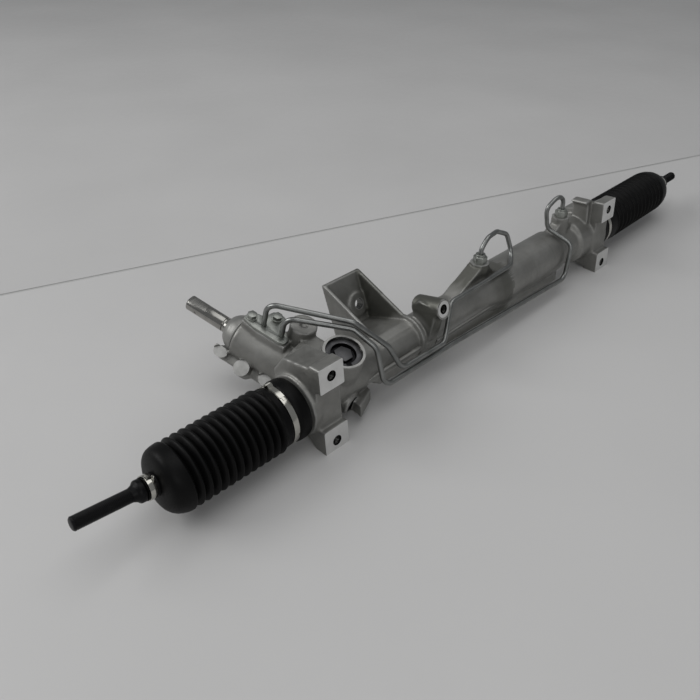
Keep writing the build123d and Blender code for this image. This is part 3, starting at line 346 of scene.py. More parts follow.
def turned_aluminium():
    """The cylinder's skin, rubbed round its girth."""
    f = Finish("turned aluminium", (0.3, 0.3, 0.28), 0.8, 0.45)
    streak = f.grain(1, 3, 0.7, f.stretched((900, 16, 16)))
    wide = f.grain(1, 2, 0.5, f.stretched((140, 14, 14)))
    stain = f.grain(24, 4, 0.6)
    tone = f.mix(f.span(stain, 0.35, 0.65), (0.225, 0.223, 0.21), (0.315, 0.312, 0.296))
    tone = f.mix(f.span(streak, 0.45, 0.75, 0, 0.45), tone, (0.36, 0.357, 0.345))
    tone = f.mix(f.span(wide, 0.5, 0.72, 0, 0.35), tone, (0.32, 0.317, 0.305))
    # painted highlight: ridges of the cylinder are lightened
    tone = f.mix(f.marked("painted_ridge_highlight", 0.5), tone, (0.44, 0.44, 0.43))
    f.colour(tone)
    f.roughness(f.span(streak, 0.3, 0.7, 0.36, 0.55))
    f.bump(streak, 0.25, 0.0002)
    f.bump(f.grain(900, 2, 0.6), 0.15, 0.0002)
    f.bump(f.grain(45, 2, 0.5), 0.08, 0.0012)
    return f.material


def machined_aluminium():
    """Pale milled faces with fine parallel cutter marks."""
    f = Finish("machined aluminium", (0.72, 0.72, 0.71), 0.9, 0.34)
    marks = f.grain(1, 2, 0.6, f.stretched((1500, 1500, 90), (0.3, 0.2, 0.5)))
    stain = f.grain(60, 3, 0.5)
    f.colour(f.mix(f.span(stain, 0.3, 0.7), (0.66, 0.66, 0.65), (0.78, 0.78, 0.77)))
    f.roughness(f.span(marks, 0.3, 0.7, 0.28, 0.42))
    f.bump(marks, 0.12, 0.0001)
    return f.material


def faced_aluminium():
    """Faces skimmed by a saw or a coarse cutter, greyed again by handling."""
    f = Finish("skimmed aluminium", (0.35, 0.35, 0.34), 0.85, 0.45)
    marks = f.grain(1, 2, 0.6, f.stretched((90, 1100, 1100), (0.4, 0.1, 0.3)))
    stain = f.grain(90, 3, 0.55)
    f.colour(f.mix(f.span(stain, 0.35, 0.7), (0.36, 0.358, 0.345), (0.48, 0.478, 0.464)))
    f.roughness(f.span(marks, 0.3, 0.7, 0.42, 0.58))
    f.bump(marks, 0.25, 0.00015)
    return f.material


CAST = cast_aluminium()
SKIMMED = faced_aluminium()
TURNED = turned_aluminium()
MACHINED = machined_aluminium()
print("aluminium finishes", CAST.name, TURNED.name, MACHINED.name, SKIMMED.name)


# %% [markdown]
# The steels differ in tone, gloss and the run of their streaks, so one function makes them all.
# Rubber and the blackened rods need a dimmer reflection than a metal has.

# %% Steels, plating, rubber and plastic
def steel(name, low_tone, high_tone, roughness, streak_scale, bump, metallic=1.0):
    """Bare or plated metal with fine streaks and faint stains."""
    f = Finish(name, low_tone, metallic, roughness[0])
    fine = f.grain(1, 3, 0.6, f.stretched(streak_scale))
    stain = f.grain(70, 3, 0.55)
    f.colour(f.mix(f.span(stain, 0.3, 0.7), low_tone, high_tone))
    f.roughness(f.span(fine, 0.3, 0.7, roughness[0], roughness[1]))
    f.bump(fine, bump, 0.00012)
    return f.material


def black_rubber():
    """Matt moulded rubber, greyed where dust and bloom sit on it."""
    f = Finish("black rubber", (0.006,) * 3, 0.0, 0.62, **{"Specular IOR Level": 0.13})
    bloom = f.grain(35, 3, 0.55)
    fine = f.grain(700, 2, 0.5)
    f.colour(f.mix(f.span(bloom, 0.4, 0.75), (0.0012, 0.0012, 0.0013), (0.0034, 0.0034, 0.0034)))
    f.roughness(f.span(fine, 0.3, 0.7, 0.4, 0.56))
    f.bump(fine, 0.15, 0.0001)
    f.bump(bloom, 0.1, 0.0006)
    return f.material


def black_oxide():
    """Black treated steel of the tie rods, with a faint satin."""
    f = Finish("black oxide steel", (0.01, 0.01, 0.011), 0.2, 0.45, **{"Specular IOR Level": 0.16})
    wear = f.grain(120, 4, 0.6)
    fine = f.grain(1600, 2, 0.5)
    f.colour(f.mix(f.span(wear, 0.52, 0.8), (0.003, 0.003, 0.0035), (0.013, 0.013, 0.0135)))
    f.roughness(f.span(wear, 0.3, 0.7, 0.34, 0.52))
    f.bump(fine, 0.12, 0.00012)
    return f.material


def plastic(name, dark, pale, roughness):
    """Plain moulded polymer."""
    f = Finish(name, dark, 0.0, roughness)
    cloud = f.grain(80, 2, 0.5)
    f.colour(f.mix(f.span(cloud, 0.3, 0.7), dark, pale))
    f.roughness(f.span(cloud, 0.3, 0.7, roughness - 0.05, roughness + 0.06))
    f.bump(f.grain(900, 2, 0.5), 0.08, 0.0001)
    return f.material


SHAFT = steel(
    "ground steel", (0.28, 0.275, 0.26), (0.37, 0.365, 0.345), (0.14, 0.26), (60, 60, 900), 0.05
)
TUBE = steel(
    "plated tube steel", (0.2, 0.205, 0.2), (0.29, 0.296, 0.288), (0.3, 0.42), (500,) * 3, 0.08
)
ZINC = steel("zinc plate", (0.25, 0.26, 0.242), (0.36, 0.37, 0.347), (0.3, 0.46), (600,) * 3, 0.12)
BAND = steel(
    "stainless strip", (0.46, 0.45, 0.41), (0.58, 0.57, 0.53), (0.1, 0.2), (1200, 90, 90), 0.08
)
SPRING = steel("spring steel", (0.22, 0.22, 0.22), (0.32, 0.32, 0.32), (0.3, 0.45), (400,) * 3, 0.1)
PLAIN = steel(
    "plain aluminium", (0.62, 0.62, 0.61), (0.70, 0.70, 0.69), (0.3, 0.45), (900, 200, 200), 0.08
)
DARK = steel(
    "dark oxide plug", (0.012, 0.012, 0.0127), (0.024, 0.0238, 0.0254), (0.42, 0.56),
    (300,) * 3, 0.15
)
# painted shade: bores and their threads are darkened like the shade inside a hole; the gloss is the
# metal's own
THREAD_PAINTED_SHADE = steel(
    "thread with painted shade", (0.07, 0.07, 0.066), (0.15, 0.15, 0.143), (0.16, 0.28), (400,) * 3, 0.1
)
# painted light: the hex key face is given a lighter tone than the ring around it
PAINTED_LIGHT_KEY = steel(
    "painted-light key face", (0.07, 0.07, 0.073), (0.11, 0.11, 0.114), (0.34, 0.5), (300,) * 3, 0.15, 0.7
)
RUBBER = black_rubber()
BLACK = black_oxide()
POLYMER = plastic("white polymer", (0.72, 0.70, 0.64), (0.80, 0.78, 0.73), 0.4)
BY_SLOT = {
    "cast_aluminium": CAST,
    "plain_aluminium": PLAIN,
    "ground_steel": SHAFT,
    "blackened_steel": BLACK,
    "dark_plug": DARK,
    "black_rubber": RUBBER,
    "white_polymer": POLYMER,
    "plated_tube": TUBE,
    "zinc_plate": ZINC,
    "stainless_band": BAND,
    "spring_steel": SPRING,
}
print(len(BY_SLOT), "finishes for the record's slots")

# %% [markdown]
# ## Pieces that keep their CAD shape
#
# The inner pieces and the bent tubes are shown as packed. They only need their finish and shading
# that breaks at real edges.

# %% Finish every CAD node from its slot
SLOT_OF = {part["node"]: part["material_slot"] for part in frame["record"]["subparts"]}


def dress(piece, material):
    """Gives a piece its finish."""
    piece.data.materials.clear()
    piece.data.materials.append(material)


for node_name, node in NODES.items():
    dress(node, BY_SLOT[SLOT_OF[node_name]])
    shade(node, 32)
print(len(NODES), "nodes dressed")


def take_place(piece, body, node):
    """The piece stands for a CAD node, which it hides, and, if a body is named, rides on it."""
    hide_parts(node)
    if body:
        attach(piece, body)
    return piece


# %% [markdown]
# ## The casting
#
# A casting gets its look in the order it was made. First comes the raw shape, with extra metal on
# the faces that will be cut. A voxel remesh and some smoothing give every corner the soft fillet
# of a mould, which bevels can't do where bosses run together. Last the faces are cut flat and the
# holes drilled, so those edges come out crisp.

# %% Frames of the faces and holes
BOLT_X, BOLT_Z = 284.4, 42.9
UPPER_DEPTH, LOWER_DEPTH = 32, 20  # of the bolt holes, from the pads
MOUTH = 50  # from the rack axis to the rims of the yoke boss and the ports
STUB_BACK = -12  # of the stubs' middles from the tower's axis


def leaning_front(point, lean):
    """Frame of a face towards the front that leans up by an angle in degrees."""
    lean = math.radians(lean)
    out = Vector((0, -math.cos(lean), math.sin(lean)))
    return axes(Vector(point) * MM, out, ALONG_X)


def face_at(place, station=0):
    """Point and normal of the face at a station of a frame."""
    return place @ Vector((0, 0, station * MM)), place.col[2].xyz


EAR_PLACE = leaning_front((-96, 5, 37.5), 10)
BRACKET_PLACE = leaning_front((-133, 111, 24), 15.5)
PORTS = [port_axes(x) for x in (20.5, 216)]
HOLES = [
    (axes(Vector((x, 0, z)) * MM, ALONG_Y, ALONG_X), depth)
    for x in (-BOLT_X, BOLT_X)
    for z, depth in ((BOLT_Z, UPPER_DEPTH), (-BOLT_Z, LOWER_DEPTH))
]

# the three cast stubs on the tower: station, side, and how far off centre the cutter ran
STUB_DIR = (YOKE_DIR * 0.82 + TOWER_AXES.col[0].xyz * 0.57).normalized()
outward = PINION_DIR.cross(STUB_DIR)
if outward.dot(TOWER_AXES.col[0].xyz) < 0:
    outward.negate()
STUBS = []
for station, side, shift in ((136, 25.5, 6.3), (101.5, 32.6, 0.8), (70.5, 25.5, 6.3)):
    middle = TOWER_AXES @ (Vector((side, STUB_BACK, station)) * MM)
    STUBS.append(axes(middle + outward * shift * MM, STUB_DIR, PINION_DIR))

MILLED = [(Vector((0, 0, 0)), Vector((0, -1, 0))), face_at(EAR_PLACE)]
FACED = [face_at(place, MOUTH) for place in (YOKE_AXES, *PORTS)]
FACED += [face_at(place) for place in STUBS]
print(len(MILLED), "planes to mill,", len(FACED), "to face")

# %% Raw casting with stock on the faces to be cut
STOCK = 2.2 * MM


def extruded(builder, faces, step):
    """Pulls faces along by a vector; gives one new face and all the moved corners."""
    grown = bmesh.ops.extrude_face_region(builder, geom=faces)["geom"]
    moved = [item for item in grown if isinstance(item, bmesh.types.BMVert)]
    bmesh.ops.translate(builder, vec=step, verts=moved)
    return next((item for item in grown if isinstance(item, bmesh.types.BMFace)), None), moved


def add_stock(builder, point, normal):
    """Grows every face that lies on a plane by some extra metal."""
    flat = [face for face in builder.faces if face.normal.dot(normal) > 0.999]
    flat = [f for f in flat if abs((f.calc_center_median() - point).dot(normal)) < 0.02 * MM]
    extruded(builder, flat, normal * STOCK)
    return len(flat)


raw = merged_copy("rack_housing")
raw.normal_update()
for point, normal in MILLED + FACED:
    print("stock on", add_stock(raw, point, normal), "faces")

# %% [markdown]
# Webs stiffen a casting. One carries the ear, and the one along the barrel's underside is a guess.
# Each is a closed shape that overlaps the raw casting, as the remesh fuses whatever overlaps. The
# bores are plugged in the same way, or their rims would be rounded.

# %% Webs and plugs
KEEL_ROOT = 15  # from the rack axis, inside the barrel's wall
KEEL_PATH = [(-200, 24), (-186, 33), (-80, 35), (60, 39.5), (168, 43.5), (186, 43), (196, 33)]


def fuse(builder):
    """Adds a closed shape to the raw casting."""
    bmesh.ops.recalc_face_normals(builder, faces=builder.faces)
    data = bpy.data.meshes.new("part")
    builder.to_mesh(data)
    builder.free()
    raw.from_mesh(data)
    bpy.data.meshes.remove(data)


def start_bar(builder, half, station):
    """First face of a bar, from the (away, side) corners on one side of it."""
    outline = [(away, -side) for away, side in half] + half[::-1]
    corners = [builder.verts.new(Vector((away, side, station)) * MM) for away, side in outline]
    return builder.faces.new(corners)


def end_bar(builder, ends, below):
    """Clears what extrusion left inside a bar, then turns it to lie under the rack's front."""
    inner = [face for face in builder.faces if len(face.verts) > 4]
    for station in ends:
        inner = [f for f in inner if abs(f.calc_center_median().z - station * MM) > SAME_POINT]
    bmesh.ops.delete(builder, geom=inner, context="FACES_ONLY")
    place = RACK_AXES @ Matrix.Rotation(math.radians(180 + below), 4, "Z")
    bmesh.ops.transform(builder, matrix=place, verts=builder.verts)


def add_web(x_start, x_end, corners):
    """Adds a plate square to the rack from its (y, z) corners."""
    web = bmesh.new()
    face = web.faces.new([web.verts.new(Vector((x_start, y, z)) * MM) for y, z in corners])
    extruded(web, [face], Vector(((x_end - x_start) * MM, 0, 0)))
    fuse(web)


def add_keel(below, path):
    """Adds a web along the barrel from its (x, reach) stations, some degrees below the front."""
    keel = bmesh.new()
    x, reach = path[0]
    face = start_bar(keel, [(KEEL_ROOT, 9), (reach - 3, 3.6), (reach, 2)], x)
    for next_x, next_reach in path[1:]:
        face, moved = extruded(keel, [face], Vector((0, 0, (next_x - x) * MM)))
        tips = [vert for vert in moved if vert.co.x > (KEEL_ROOT + 0.5) * MM]
        bmesh.ops.translate(keel, vec=Vector(((next_reach - reach) * MM, 0, 0)), verts=tips)
        x, reach = next_x, next_reach
    end_bar(keel, (path[0][0], x), below)
    fuse(keel)


def solid_profile(radius, start, end):
    """Half section of a plain cylinder."""
    return [(0, start), (radius, start), (radius, end), (0, end)]


def plug(place, radius, start, end):
    """Fills a bore for now; it is drilled after the skin is made."""
    builder = bmesh.new()
    spin_profile(builder, solid_profile(radius, start, end), place, 48)
    fuse(builder)


# the ear stands on a web as wide as its left half
add_web(-108.4, -93, [(9, 36), (10, 24), (22, -20), (43.6, -24), (43.6, 34), (34, 44), (20, 42)])
add_keel(60, KEEL_PATH)

# frame, radius, start and end of each plug, a little wider than the bore that it fills
PLUGS = [
    (RACK_AXES, 16, -328, 328),
    (RACK_AXES, 22, 10, 230),
    (RACK_AXES, 24.5, 225, 329),
    (RACK_AXES, 23, -329.5, -316),
    (TOWER_AXES, 11, -30.4, -14),
    (TOWER_AXES, 19, -16, 126.6),
    (YOKE_AXES, 22, 2, MOUTH + 1),
    (EAR_PLACE, 6.6, -31, -0.5),
    (BRACKET_PLACE, 7.4, -11.4, -0.6),
]
PLUGS += [(place, 7.6, 39, MOUTH + 1) for place in PORTS]
PLUGS += [(hole, 6.8, -1, depth - 1) for hole, depth in HOLES]
for plug_form in PLUGS:
    plug(*plug_form)
print(len(PLUGS), "plugs in the raw casting of", len(raw.faces), "faces")

# %% Mould fillets by remeshing and smoothing
VOXEL = 1.4 * MM
KEPT_FACES = 0.64  # share that the skin keeps


def apply_modifiers(piece):
    """Replaces a piece's mesh by what its modifiers make of it."""
    bpy.context.view_layer.update()
    settled = piece.evaluated_get(bpy.context.evaluated_depsgraph_get())
    data = bpy.data.meshes.new_from_object(settled)
    piece.modifiers.clear()
    piece.data = data


casting = finish_mesh(raw, "casting")
remesh = casting.modifiers.new("skin", "REMESH")
remesh.mode = "VOXEL"
remesh.voxel_size = VOXEL
soften = casting.modifiers.new("fillets", "SMOOTH")
soften.factor = 0.5
soften.iterations = 6
thin = casting.modifiers.new("thin", "DECIMATE")
thin.ratio = KEPT_FACES
apply_modifiers(casting)
print("casting skin", len(casting.data.polygons), "faces")

# %% [markdown]
# Where the mould's halves met, the real barrel carries a flat rib with rubbed corners. It is
# joined on after the smoothing, so it stays crisp. A manifold boolean is fast on closed meshes.

# %% Parting ribs
def cut(piece, tools, operation="DIFFERENCE"):
    """Takes tools out of a piece, or joins them to it, one after another and removes them."""
    for index, tool in enumerate(tools):
        step = piece.modifiers.new(f"cut{index}", "BOOLEAN")
        step.operation = operation
        step.solver = "MANIFOLD"
        step.object = tool
    apply_modifiers(piece)
    for tool in tools:
        bpy.data.objects.remove(tool)


def parting_rib(below, top, width, start, end, steps=48):
    """Flat-topped rib along the barrel, with a raised lip at each corner."""
    builder = bmesh.new()
    root, edge = 14, width / 2
    half = [(root, edge), (top - 0.6, edge), (top, edge - 0.5), (top - 0.5, edge - 1.7)]
    face = start_bar(builder, half, start)
    for _ in range(steps):
        face = extruded(builder, [face], Vector((0, 0, (end - start) / steps * MM)))[0]
    end_bar(builder, (start, end), below)
    return finish_mesh(builder, "rib")


ribs = [parting_rib(18, 26.4, 8.4, -213.5, -90), parting_rib(26, 28.2, 8, -92, 34)]
cut(casting, ribs, "UNION")
print("ribbed casting", len(casting.data.polygons), "faces")

# %% Mill the faces and drill the holes
BOLT_BORE, EAR_BORE, BRACKET_BORE, PORT_BORE = 6.2, 6, 6.75, 7
YOKE_THREAD_BORE = 21.2
PAD_SLAB = Vector((-0.34, -0.02, -0.08)), Vector((0.34, 0.0, 0.08))


def drill(place, radius, start, end):
    """A closed cylinder for cutting."""
    return lathe("drill", solid_profile(radius, start, end), place, 64)


def slab_cutter(low_corner, high_corner):
    """A closed block for cutting."""
    builder = bmesh.new()
    bmesh.ops.create_cube(builder, size=1)
    middle = Matrix.Translation((low_corner + high_corner) / 2)
    size = Matrix.Diagonal((*(high_corner - low_corner), 1))
    bmesh.ops.transform(builder, matrix=middle @ size, verts=builder.verts)
    return finish_mesh(builder, "slab")


# frame, radius, start and end of each cut, in the order of cutting
CUTS = [
    (EAR_PLACE, 16, 0.7, 6),  # clears the ear round its spot face
    (EAR_PLACE, 10.6, 0, 6),  # the spot face
    (EAR_PLACE, EAR_BORE, -32, 8),
    (BRACKET_PLACE, BRACKET_BORE, -20, 8),
    (YOKE_AXES, 26.2, MOUTH, MOUTH + 6),  # the yoke boss's rim
    (YOKE_AXES, YOKE_THREAD_BORE, 36.5, MOUTH + 2),
    (YOKE_AXES, 18.5, 2, 40),  # the plunger
]
for place in PORTS:
    CUTS += [(place, 15, MOUTH, MOUTH + 6), (place, PORT_BORE, 38, MOUTH + 2)]
CUTS += [(place, 10.5, 0, 5) for place in STUBS]
CUTS += [(hole, BOLT_BORE, -5, depth) for hole, depth in HOLES]
CUTS += [
    (RACK_AXES, 15.2, -340, 340),  # the rack bar
    (RACK_AXES, 21.05, 12, 226),  # the cylinder
    (RACK_AXES, 22.6, 225, 345),  # the far guide bush
    (RACK_AXES, 22.1, -345, -318),  # the near ball socket's room
    (TOWER_AXES, 10.05, -31.5, -16),  # the tower's foot
    (TOWER_AXES, 12.4, -17, 24),  # the pinion
    (TOWER_AXES, 17.05, 20, 40),  # the upper bearing
    (TOWER_AXES, 18.55, 38, 128),  # the valve sleeve
]
cut(casting, [slab_cutter(*PAD_SLAB)] + [drill(*form) for form in CUTS])
print("milled casting", len(casting.data.polygons), "faces after", len(CUTS) + 1, "cuts")

# %% [markdown]
# The casting's ridges get a painted highlight and its hollows painted shade. So that the finish
# knows where those are, each vertex stores how far it stands out of its neighbours.

# %% Mark the painted highlight on ridges, the painted shade in hollows and the painted shade zone
FLAT_BEND, BEND_SPAN = 0.035, 0.13  # of a vertex, in voxels: where the painted highlight and painted shade start, and their range


def clamped(value):
    """The value kept between 0 and 1."""
    return min(max(value, 0), 1)


def ramp(value, start, end):
    """0 up to the start, 1 from the end on, and a straight line between them."""
    return clamped((value - start) / (end - start))


def curvature(data):
    """How far each vertex stands out of its neighbours' mean, along its normal, smoothed."""
    builder = bmesh.new()
    builder.from_mesh(data)
    builder.normal_update()
    near = [[edge.other_vert(vert) for edge in vert.link_edges] for vert in builder.verts]
    value = []
    for vert, around in zip(builder.verts, near):
        mean = sum((other.co for other in around), Vector()) / max(len(around), 1)
        value.append((vert.co - mean).dot(vert.normal) / VOXEL)
    for _ in range(3):
        value = [
            0.5 * own + 0.5 * sum(value[other.index] for other in around) / max(len(around), 1)
            for own, around in zip(value, near)
        ]
    builder.free()
    return value


def store(data, name, values):
    """Keeps one number for each vertex, for the finish to read."""
    made = data.attributes.new(name, "FLOAT", "POINT")
    made.data.foreach_set("value", values)


def painted_shade_zone(point):
    """1 on the ear, the pocket's far wall and the long fin, whose skin gets painted shade."""
    away = point - RACK
    height = math.hypot(away.y, away.z) / MM
    x = point.x / MM
    return ramp(height, 27, 34) * min(ramp(x, -130, -122), ramp(x, 70, 58))


bend = curvature(casting.data)
store(casting.data, "painted_shade_zone", [painted_shade_zone(vert.co) for vert in casting.data.vertices])
store(casting.data, "painted_ridge_highlight", [clamped((out - FLAT_BEND) / BEND_SPAN) for out in bend])
store(casting.data, "painted_hollow_shade", [clamped((-out - FLAT_BEND) / BEND_SPAN) for out in bend])
print("bend from", round(min(bend), 2), "to", round(max(bend), 2))

# %% Finish the casting's faces by how they were made
CASTING_FINISHES = (CAST, MACHINED, TURNED, SKIMMED, THREAD_PAINTED_SHADE)
BORES = [EAR_PLACE, BRACKET_PLACE] + [hole for hole, depth in HOLES]
BORE_REACH, BORE_LENGTH = 6.9, 36  # farthest point of a bore's wall from its axis and mouth


def lies_on(face, planes):
    """True for a face in one of the planes."""
    for point, normal in planes:
        beyond = (face.center - point).dot(normal)
        if abs(face.normal.dot(normal)) > 0.995 and abs(beyond) < 0.06 * MM:
            return True
    return False


def in_bore(face):
    """True on the wall of a drilled bolt hole."""
    for place in BORES:
        away = face.center - place.translation
        along = place.col[2].xyz
        beside = away - along * away.dot(along)
        inside = beside.length < BORE_REACH * MM and away.length < BORE_LENGTH * MM
        if inside and abs(face.normal.dot(along)) < 0.2:
            return True
    return False


def finish_of(face):
    """The finish of one face of the casting."""
    away = face.center - RACK
    radius = math.hypot(away.y, away.z) / MM
    if lies_on(face, MILLED):
        return MACHINED
    if lies_on(face, FACED):
        return SKIMMED
    # bolt-hole walls get the thread finish with painted shade
    if in_bore(face):
        return THREAD_PAINTED_SHADE
    turned = 31.0 < radius < 33.2 and 66 * MM < face.center.x < 205 * MM  # the cylinder
    return TURNED if turned else CAST


casting.data.materials.clear()
for material in CASTING_FINISHES:
    casting.data.materials.append(material)
for face in casting.data.polygons:
    face.material_index = CASTING_FINISHES.index(finish_of(face))
shade(casting, 38)
take_place(casting, "housing", "rack_housing")
print("milled faces", sum(face.material_index == 1 for face in casting.data.polygons))

# %% [markdown]
# ## Rubber boots
#
# Each boot is a folded tube. Real folds are round at the crest and sharper in the valley, so a
# raised cosine draws them, and the cuff is rounded corner by corner.

# %% Fold profiles
FOLDS = 13
CUFF_X = 338  # of both boots' frames, from the middle
NEAR_CREST, NEAR_VALLEY, NEAR_FIRST, NEAR_PITCH = 37.5, 31.7, 8, 9.3
FAR_CREST, FAR_VALLEY, FAR_FIRST, FAR_PITCH = 34.6, 28.8, 9.8, 12.4


def fold_wave(first, pitch, count, crest, valley, steps=10):
    """Fold profile with full crests and tighter valleys, from first crest to last."""
    points = []
    for index in range((count - 1) * steps + 1):
        wave = 0.5 + 0.5 * math.cos(index / steps * math.tau)
        points.append((valley + (crest - valley) * wave**0.62, first + index / steps * pitch))
    return points


near_cuff = [(31.15, -29.6), (33.4, -30.3), (35.5, -28.8), (36.2, -25), (36.2, -17.5)]
near_cuff += [(35.3, -14.2), (33.9, -12.6), (33.9, -4.2), (34.9, -3.0), (34.7, 3.4)]
near_cuff += [(36.6, 6.4), (37.4, 7.6)]
near_folds = fold_wave(NEAR_FIRST, NEAR_PITCH, FOLDS, NEAR_CREST, NEAR_VALLEY)
far_cuff = [(31.15, -34), (33.6, -34), (33.9, -24.2), (33.3, -23.2), (33.3, -13.8)]
far_cuff += [(33.9, -12.8), (33.6, 5.6), (34.2, 8.6), (34.6, 9.4)]
far_folds = fold_wave(FAR_FIRST, FAR_PITCH, FOLDS, FAR_CREST, FAR_VALLEY)
print("fold points", len(near_folds), len(far_folds))

# %% [markdown]
# Past the last fold the boot narrows to a neck on the tie rod, which lies on another axis. A
# turned shape can't follow that, so this end is a skin through rings whose frames turn smoothly.

# %% Boots from the folds to the necks on the tie rods
def polar(radius, angle, station=0):
    """Point at a radius, an angle and a station of a frame."""
    return Vector((radius * math.cos(angle) * MM, radius * math.sin(angle) * MM, station * MM))


def join_rows(builder, rows):
    """Quads between rows of points, each row closed on itself."""
    for lower, upper in zip(rows, rows[1:]):
        for index in range(len(lower)):
            after = (index + 1) % len(lower)
            builder.faces.new((lower[index], lower[after], upper[after], upper[index]))


def ring_skin(name, rings, steps=112):
    """Skin through rings given as (frame, radius)."""
    builder = bmesh.new()
    turns = [index / steps * math.tau for index in range(steps)]
    rows = []
    for place, radius in rings:
        rows.append([builder.verts.new(place @ polar(radius, turn)) for turn in turns])
    join_rows(builder, rows)
    return finish_mesh(builder, name, 60)


def leaning(start_axes, end_axes, share):
    """Frame part way between two frames."""
    share = clamped(share)
    eased = share * share * (3 - 2 * share)
    place = start_axes.to_quaternion().slerp(end_axes.to_quaternion(), eased).to_matrix().to_4x4()
    place.translation = start_axes.translation.lerp(end_axes.translation, eased)
    return place


def end_rings(fold_axes, shoulder, rod_axes, neck):
    """Rings from the last fold, over the shoulder, to the neck on the tie rod."""
    rings = []
    first, last = shoulder[0][1], shoulder[-1][1]
    neck_start = rod_axes @ Matrix.Translation((0, 0, neck[0][1] * MM))
    for radius, station in shoulder:
        on_fold = fold_axes @ Matrix.Translation((0, 0, station * MM))
        on_rod = neck_start @ Matrix.Translation((0, 0, (station - last) * 0.25 * MM))
        rings.append((leaning(on_fold, on_rod, (station - first) / (last - first)), radius))
    for radius, station in neck:
        rings.append((rod_axes @ Matrix.Translation((0, 0, station * MM)), radius))
    return rings


def boot(side, cuff, folds, fold_axes, shoulder, rod_axes, neck):
    """Both rubber pieces of a boot."""
    name = f"{side}_boot"
    bellows = lathe(f"{name}_folds", rounded(cuff, 1.0) + folds, fold_axes, 112, 60)
    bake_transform(bellows)
    end = ring_skin(f"{name}_end", end_rings(fold_axes, shoulder, rod_axes, neck))
    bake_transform(end)
    for piece in (bellows, end):
        dress(piece, RUBBER)
        take_place(piece, None, name)
    print(name, len(bellows.data.polygons), "and", len(end.data.polygons), "faces")


# shoulder and neck: (radius, station) from the last fold, then from the ball on the rod
shoulder = [(NEAR_CREST, 119.6), (37.35, 121.3), (36.9, 123.4), (36.0, 125.6), (34.6, 127.9)]
shoulder += [(32.6, 130.0), (30.0, 132.0), (26.6, 133.8), (22.6, 135.4), (18.8, 136.8)]
shoulder += [(15.6, 138.0), (13.4, 139.4)]
neck = [(12.4, 54.6), (12.1, 55.6), (12.1, 56.4), (11.45, 57.0), (11.45, 64.8), (12.0, 65.3)]
neck += [(12.0, 66.2), (9.8, 66.4)]
place = axes(rack_point(-CUFF_X), Vector((-140, 0, 1.5)), ALONG_Y)  # rises a little outwards
boot("near", near_cuff, near_folds, place, shoulder, NEAR_ROD_AXES, neck)

shoulder = [(FAR_CREST, 158.6), (34.5, 161.4), (34.0, 165.0), (33.0, 168.6), (31.2, 172.4)]
shoulder += [(28.6, 176.2), (25.0, 180.4), (21.2, 184.6), (17.8, 189.0), (15.0, 194.0)]
shoulder += [(13.2, 200.0)]
neck = [(12.2, 75), (12.1, 76.5), (12.1, 78.6), (11.45, 79.4), (11.45, 88.2), (12.0, 88.6)]
neck += [(12.0, 89.2), (9.8, 89.4)]
place = axes(rack_point(CUFF_X), ALONG_X, ALONG_Y)
boot("far", far_cuff, far_folds, place, shoulder, FAR_ROD_AXES, neck)

# %% [markdown]
# ## Tie rods
#
# The rod is turned, and its end carries a rolled thread. A picture of one wouldn't catch the
# light at its edge, so it is real: a grid of points whose radius follows the helix.

# %% Turned rods with helical threads
ROD_END = 136.6  # from the ball's centre
ROD_THREAD = 7.2
COARSE = 1.5  # pitch
BALL = 14


def thread_grid(builder, place, outer, depth, pitch, start, end, segments=40, per_pitch=6):
    """Adds a helical thread between two stations; a negative depth cuts outwards, for a bore."""
    rows = []
    count = int((end - start) / pitch * per_pitch)
    for row_index in range(count + 1):
        station = start + (end - start) * row_index / count
        fade = max(min(1, (station - start) / pitch, (end - station) / pitch), 0)
        row = []
        for index in range(segments):
            phase = (station / pitch - index / segments) % 1
            groove = min(1, 1.25 * (1 - abs(2 * phase - 1)))
            point = polar(outer - depth * groove * fade, index / segments * math.tau, station)
            row.append(builder.verts.new(point))
        rows.append(row)
    join_rows(builder, rows)
    bmesh.ops.transform(builder, matrix=place, verts=[vert for row in rows for vert in row])


def tie_rod(side, place, seat_end):
    """Ball, neck, seat, collar and the threaded end."""
    ball_angles = [math.radians(-90 + index / 12 * 147) for index in range(13)]
    profile = [(BALL * math.cos(angle), BALL * math.sin(angle)) for angle in ball_angles]
    shank = [(7.6, 12.5), (7.5, 24), (8, 28), (8, seat_end - 19.5), (9.3, seat_end - 17.5)]
    collar = [(9.3, seat_end), (11.6, seat_end + 0.5), (11.6, seat_end + 5.5)]
    collar += [(8.7, seat_end + 8.4), (7.25, seat_end + 12), (7.0, seat_end + 13)]
    profile += rounded(shank + collar + [(0, seat_end + 13)], 0.9, 3)
    tip = [(ROD_THREAD, ROD_END - 1.6), (6.9, ROD_END - 1.2), (5.8, ROD_END - 0.1)]
    tip += [(5.6, ROD_END), (0, ROD_END)]
    builder = bmesh.new()
    spin_profile(builder, profile, place, 64)
    thread_grid(builder, place, ROD_THREAD, 0.42, COARSE, seat_end + 11.5, ROD_END - 1.6)
    spin_profile(builder, tip, place, 40)
    rod = finish_mesh(builder, f"{side}_rod", 40)
    dress(rod, BLACK)
    take_place(rod, f"{side}_tie_rod", f"{side}_tie_rod")
    print(rod.name, len(rod.data.polygons), "faces")


tie_rod("near", NEAR_ROD_AXES, seat_end=66.5)
tie_rod("far", FAR_ROD_AXES, seat_end=89.5)

# %% [markdown]
# ## Valve end, yoke and hydraulic fittings
#
# The input shaft comes out of a cap on the tower, and a sunk plug presses the yoke on the rack.
# The cap is cast, so it is spun with rounded corners. The others are cut or pressed from metal,
# and their CAD shapes only need a bevel.

# %% Shaft, cap and yoke adjuster
RECESS_RADIUS, RECESS_FLOOR = 11.2, 45  # of the key recess in the adjuster

shaft = take_place(bevelled("column_shaft", "input_shaft", 0.35), "input_shaft", "input_shaft")
dress(shaft, SHAFT)

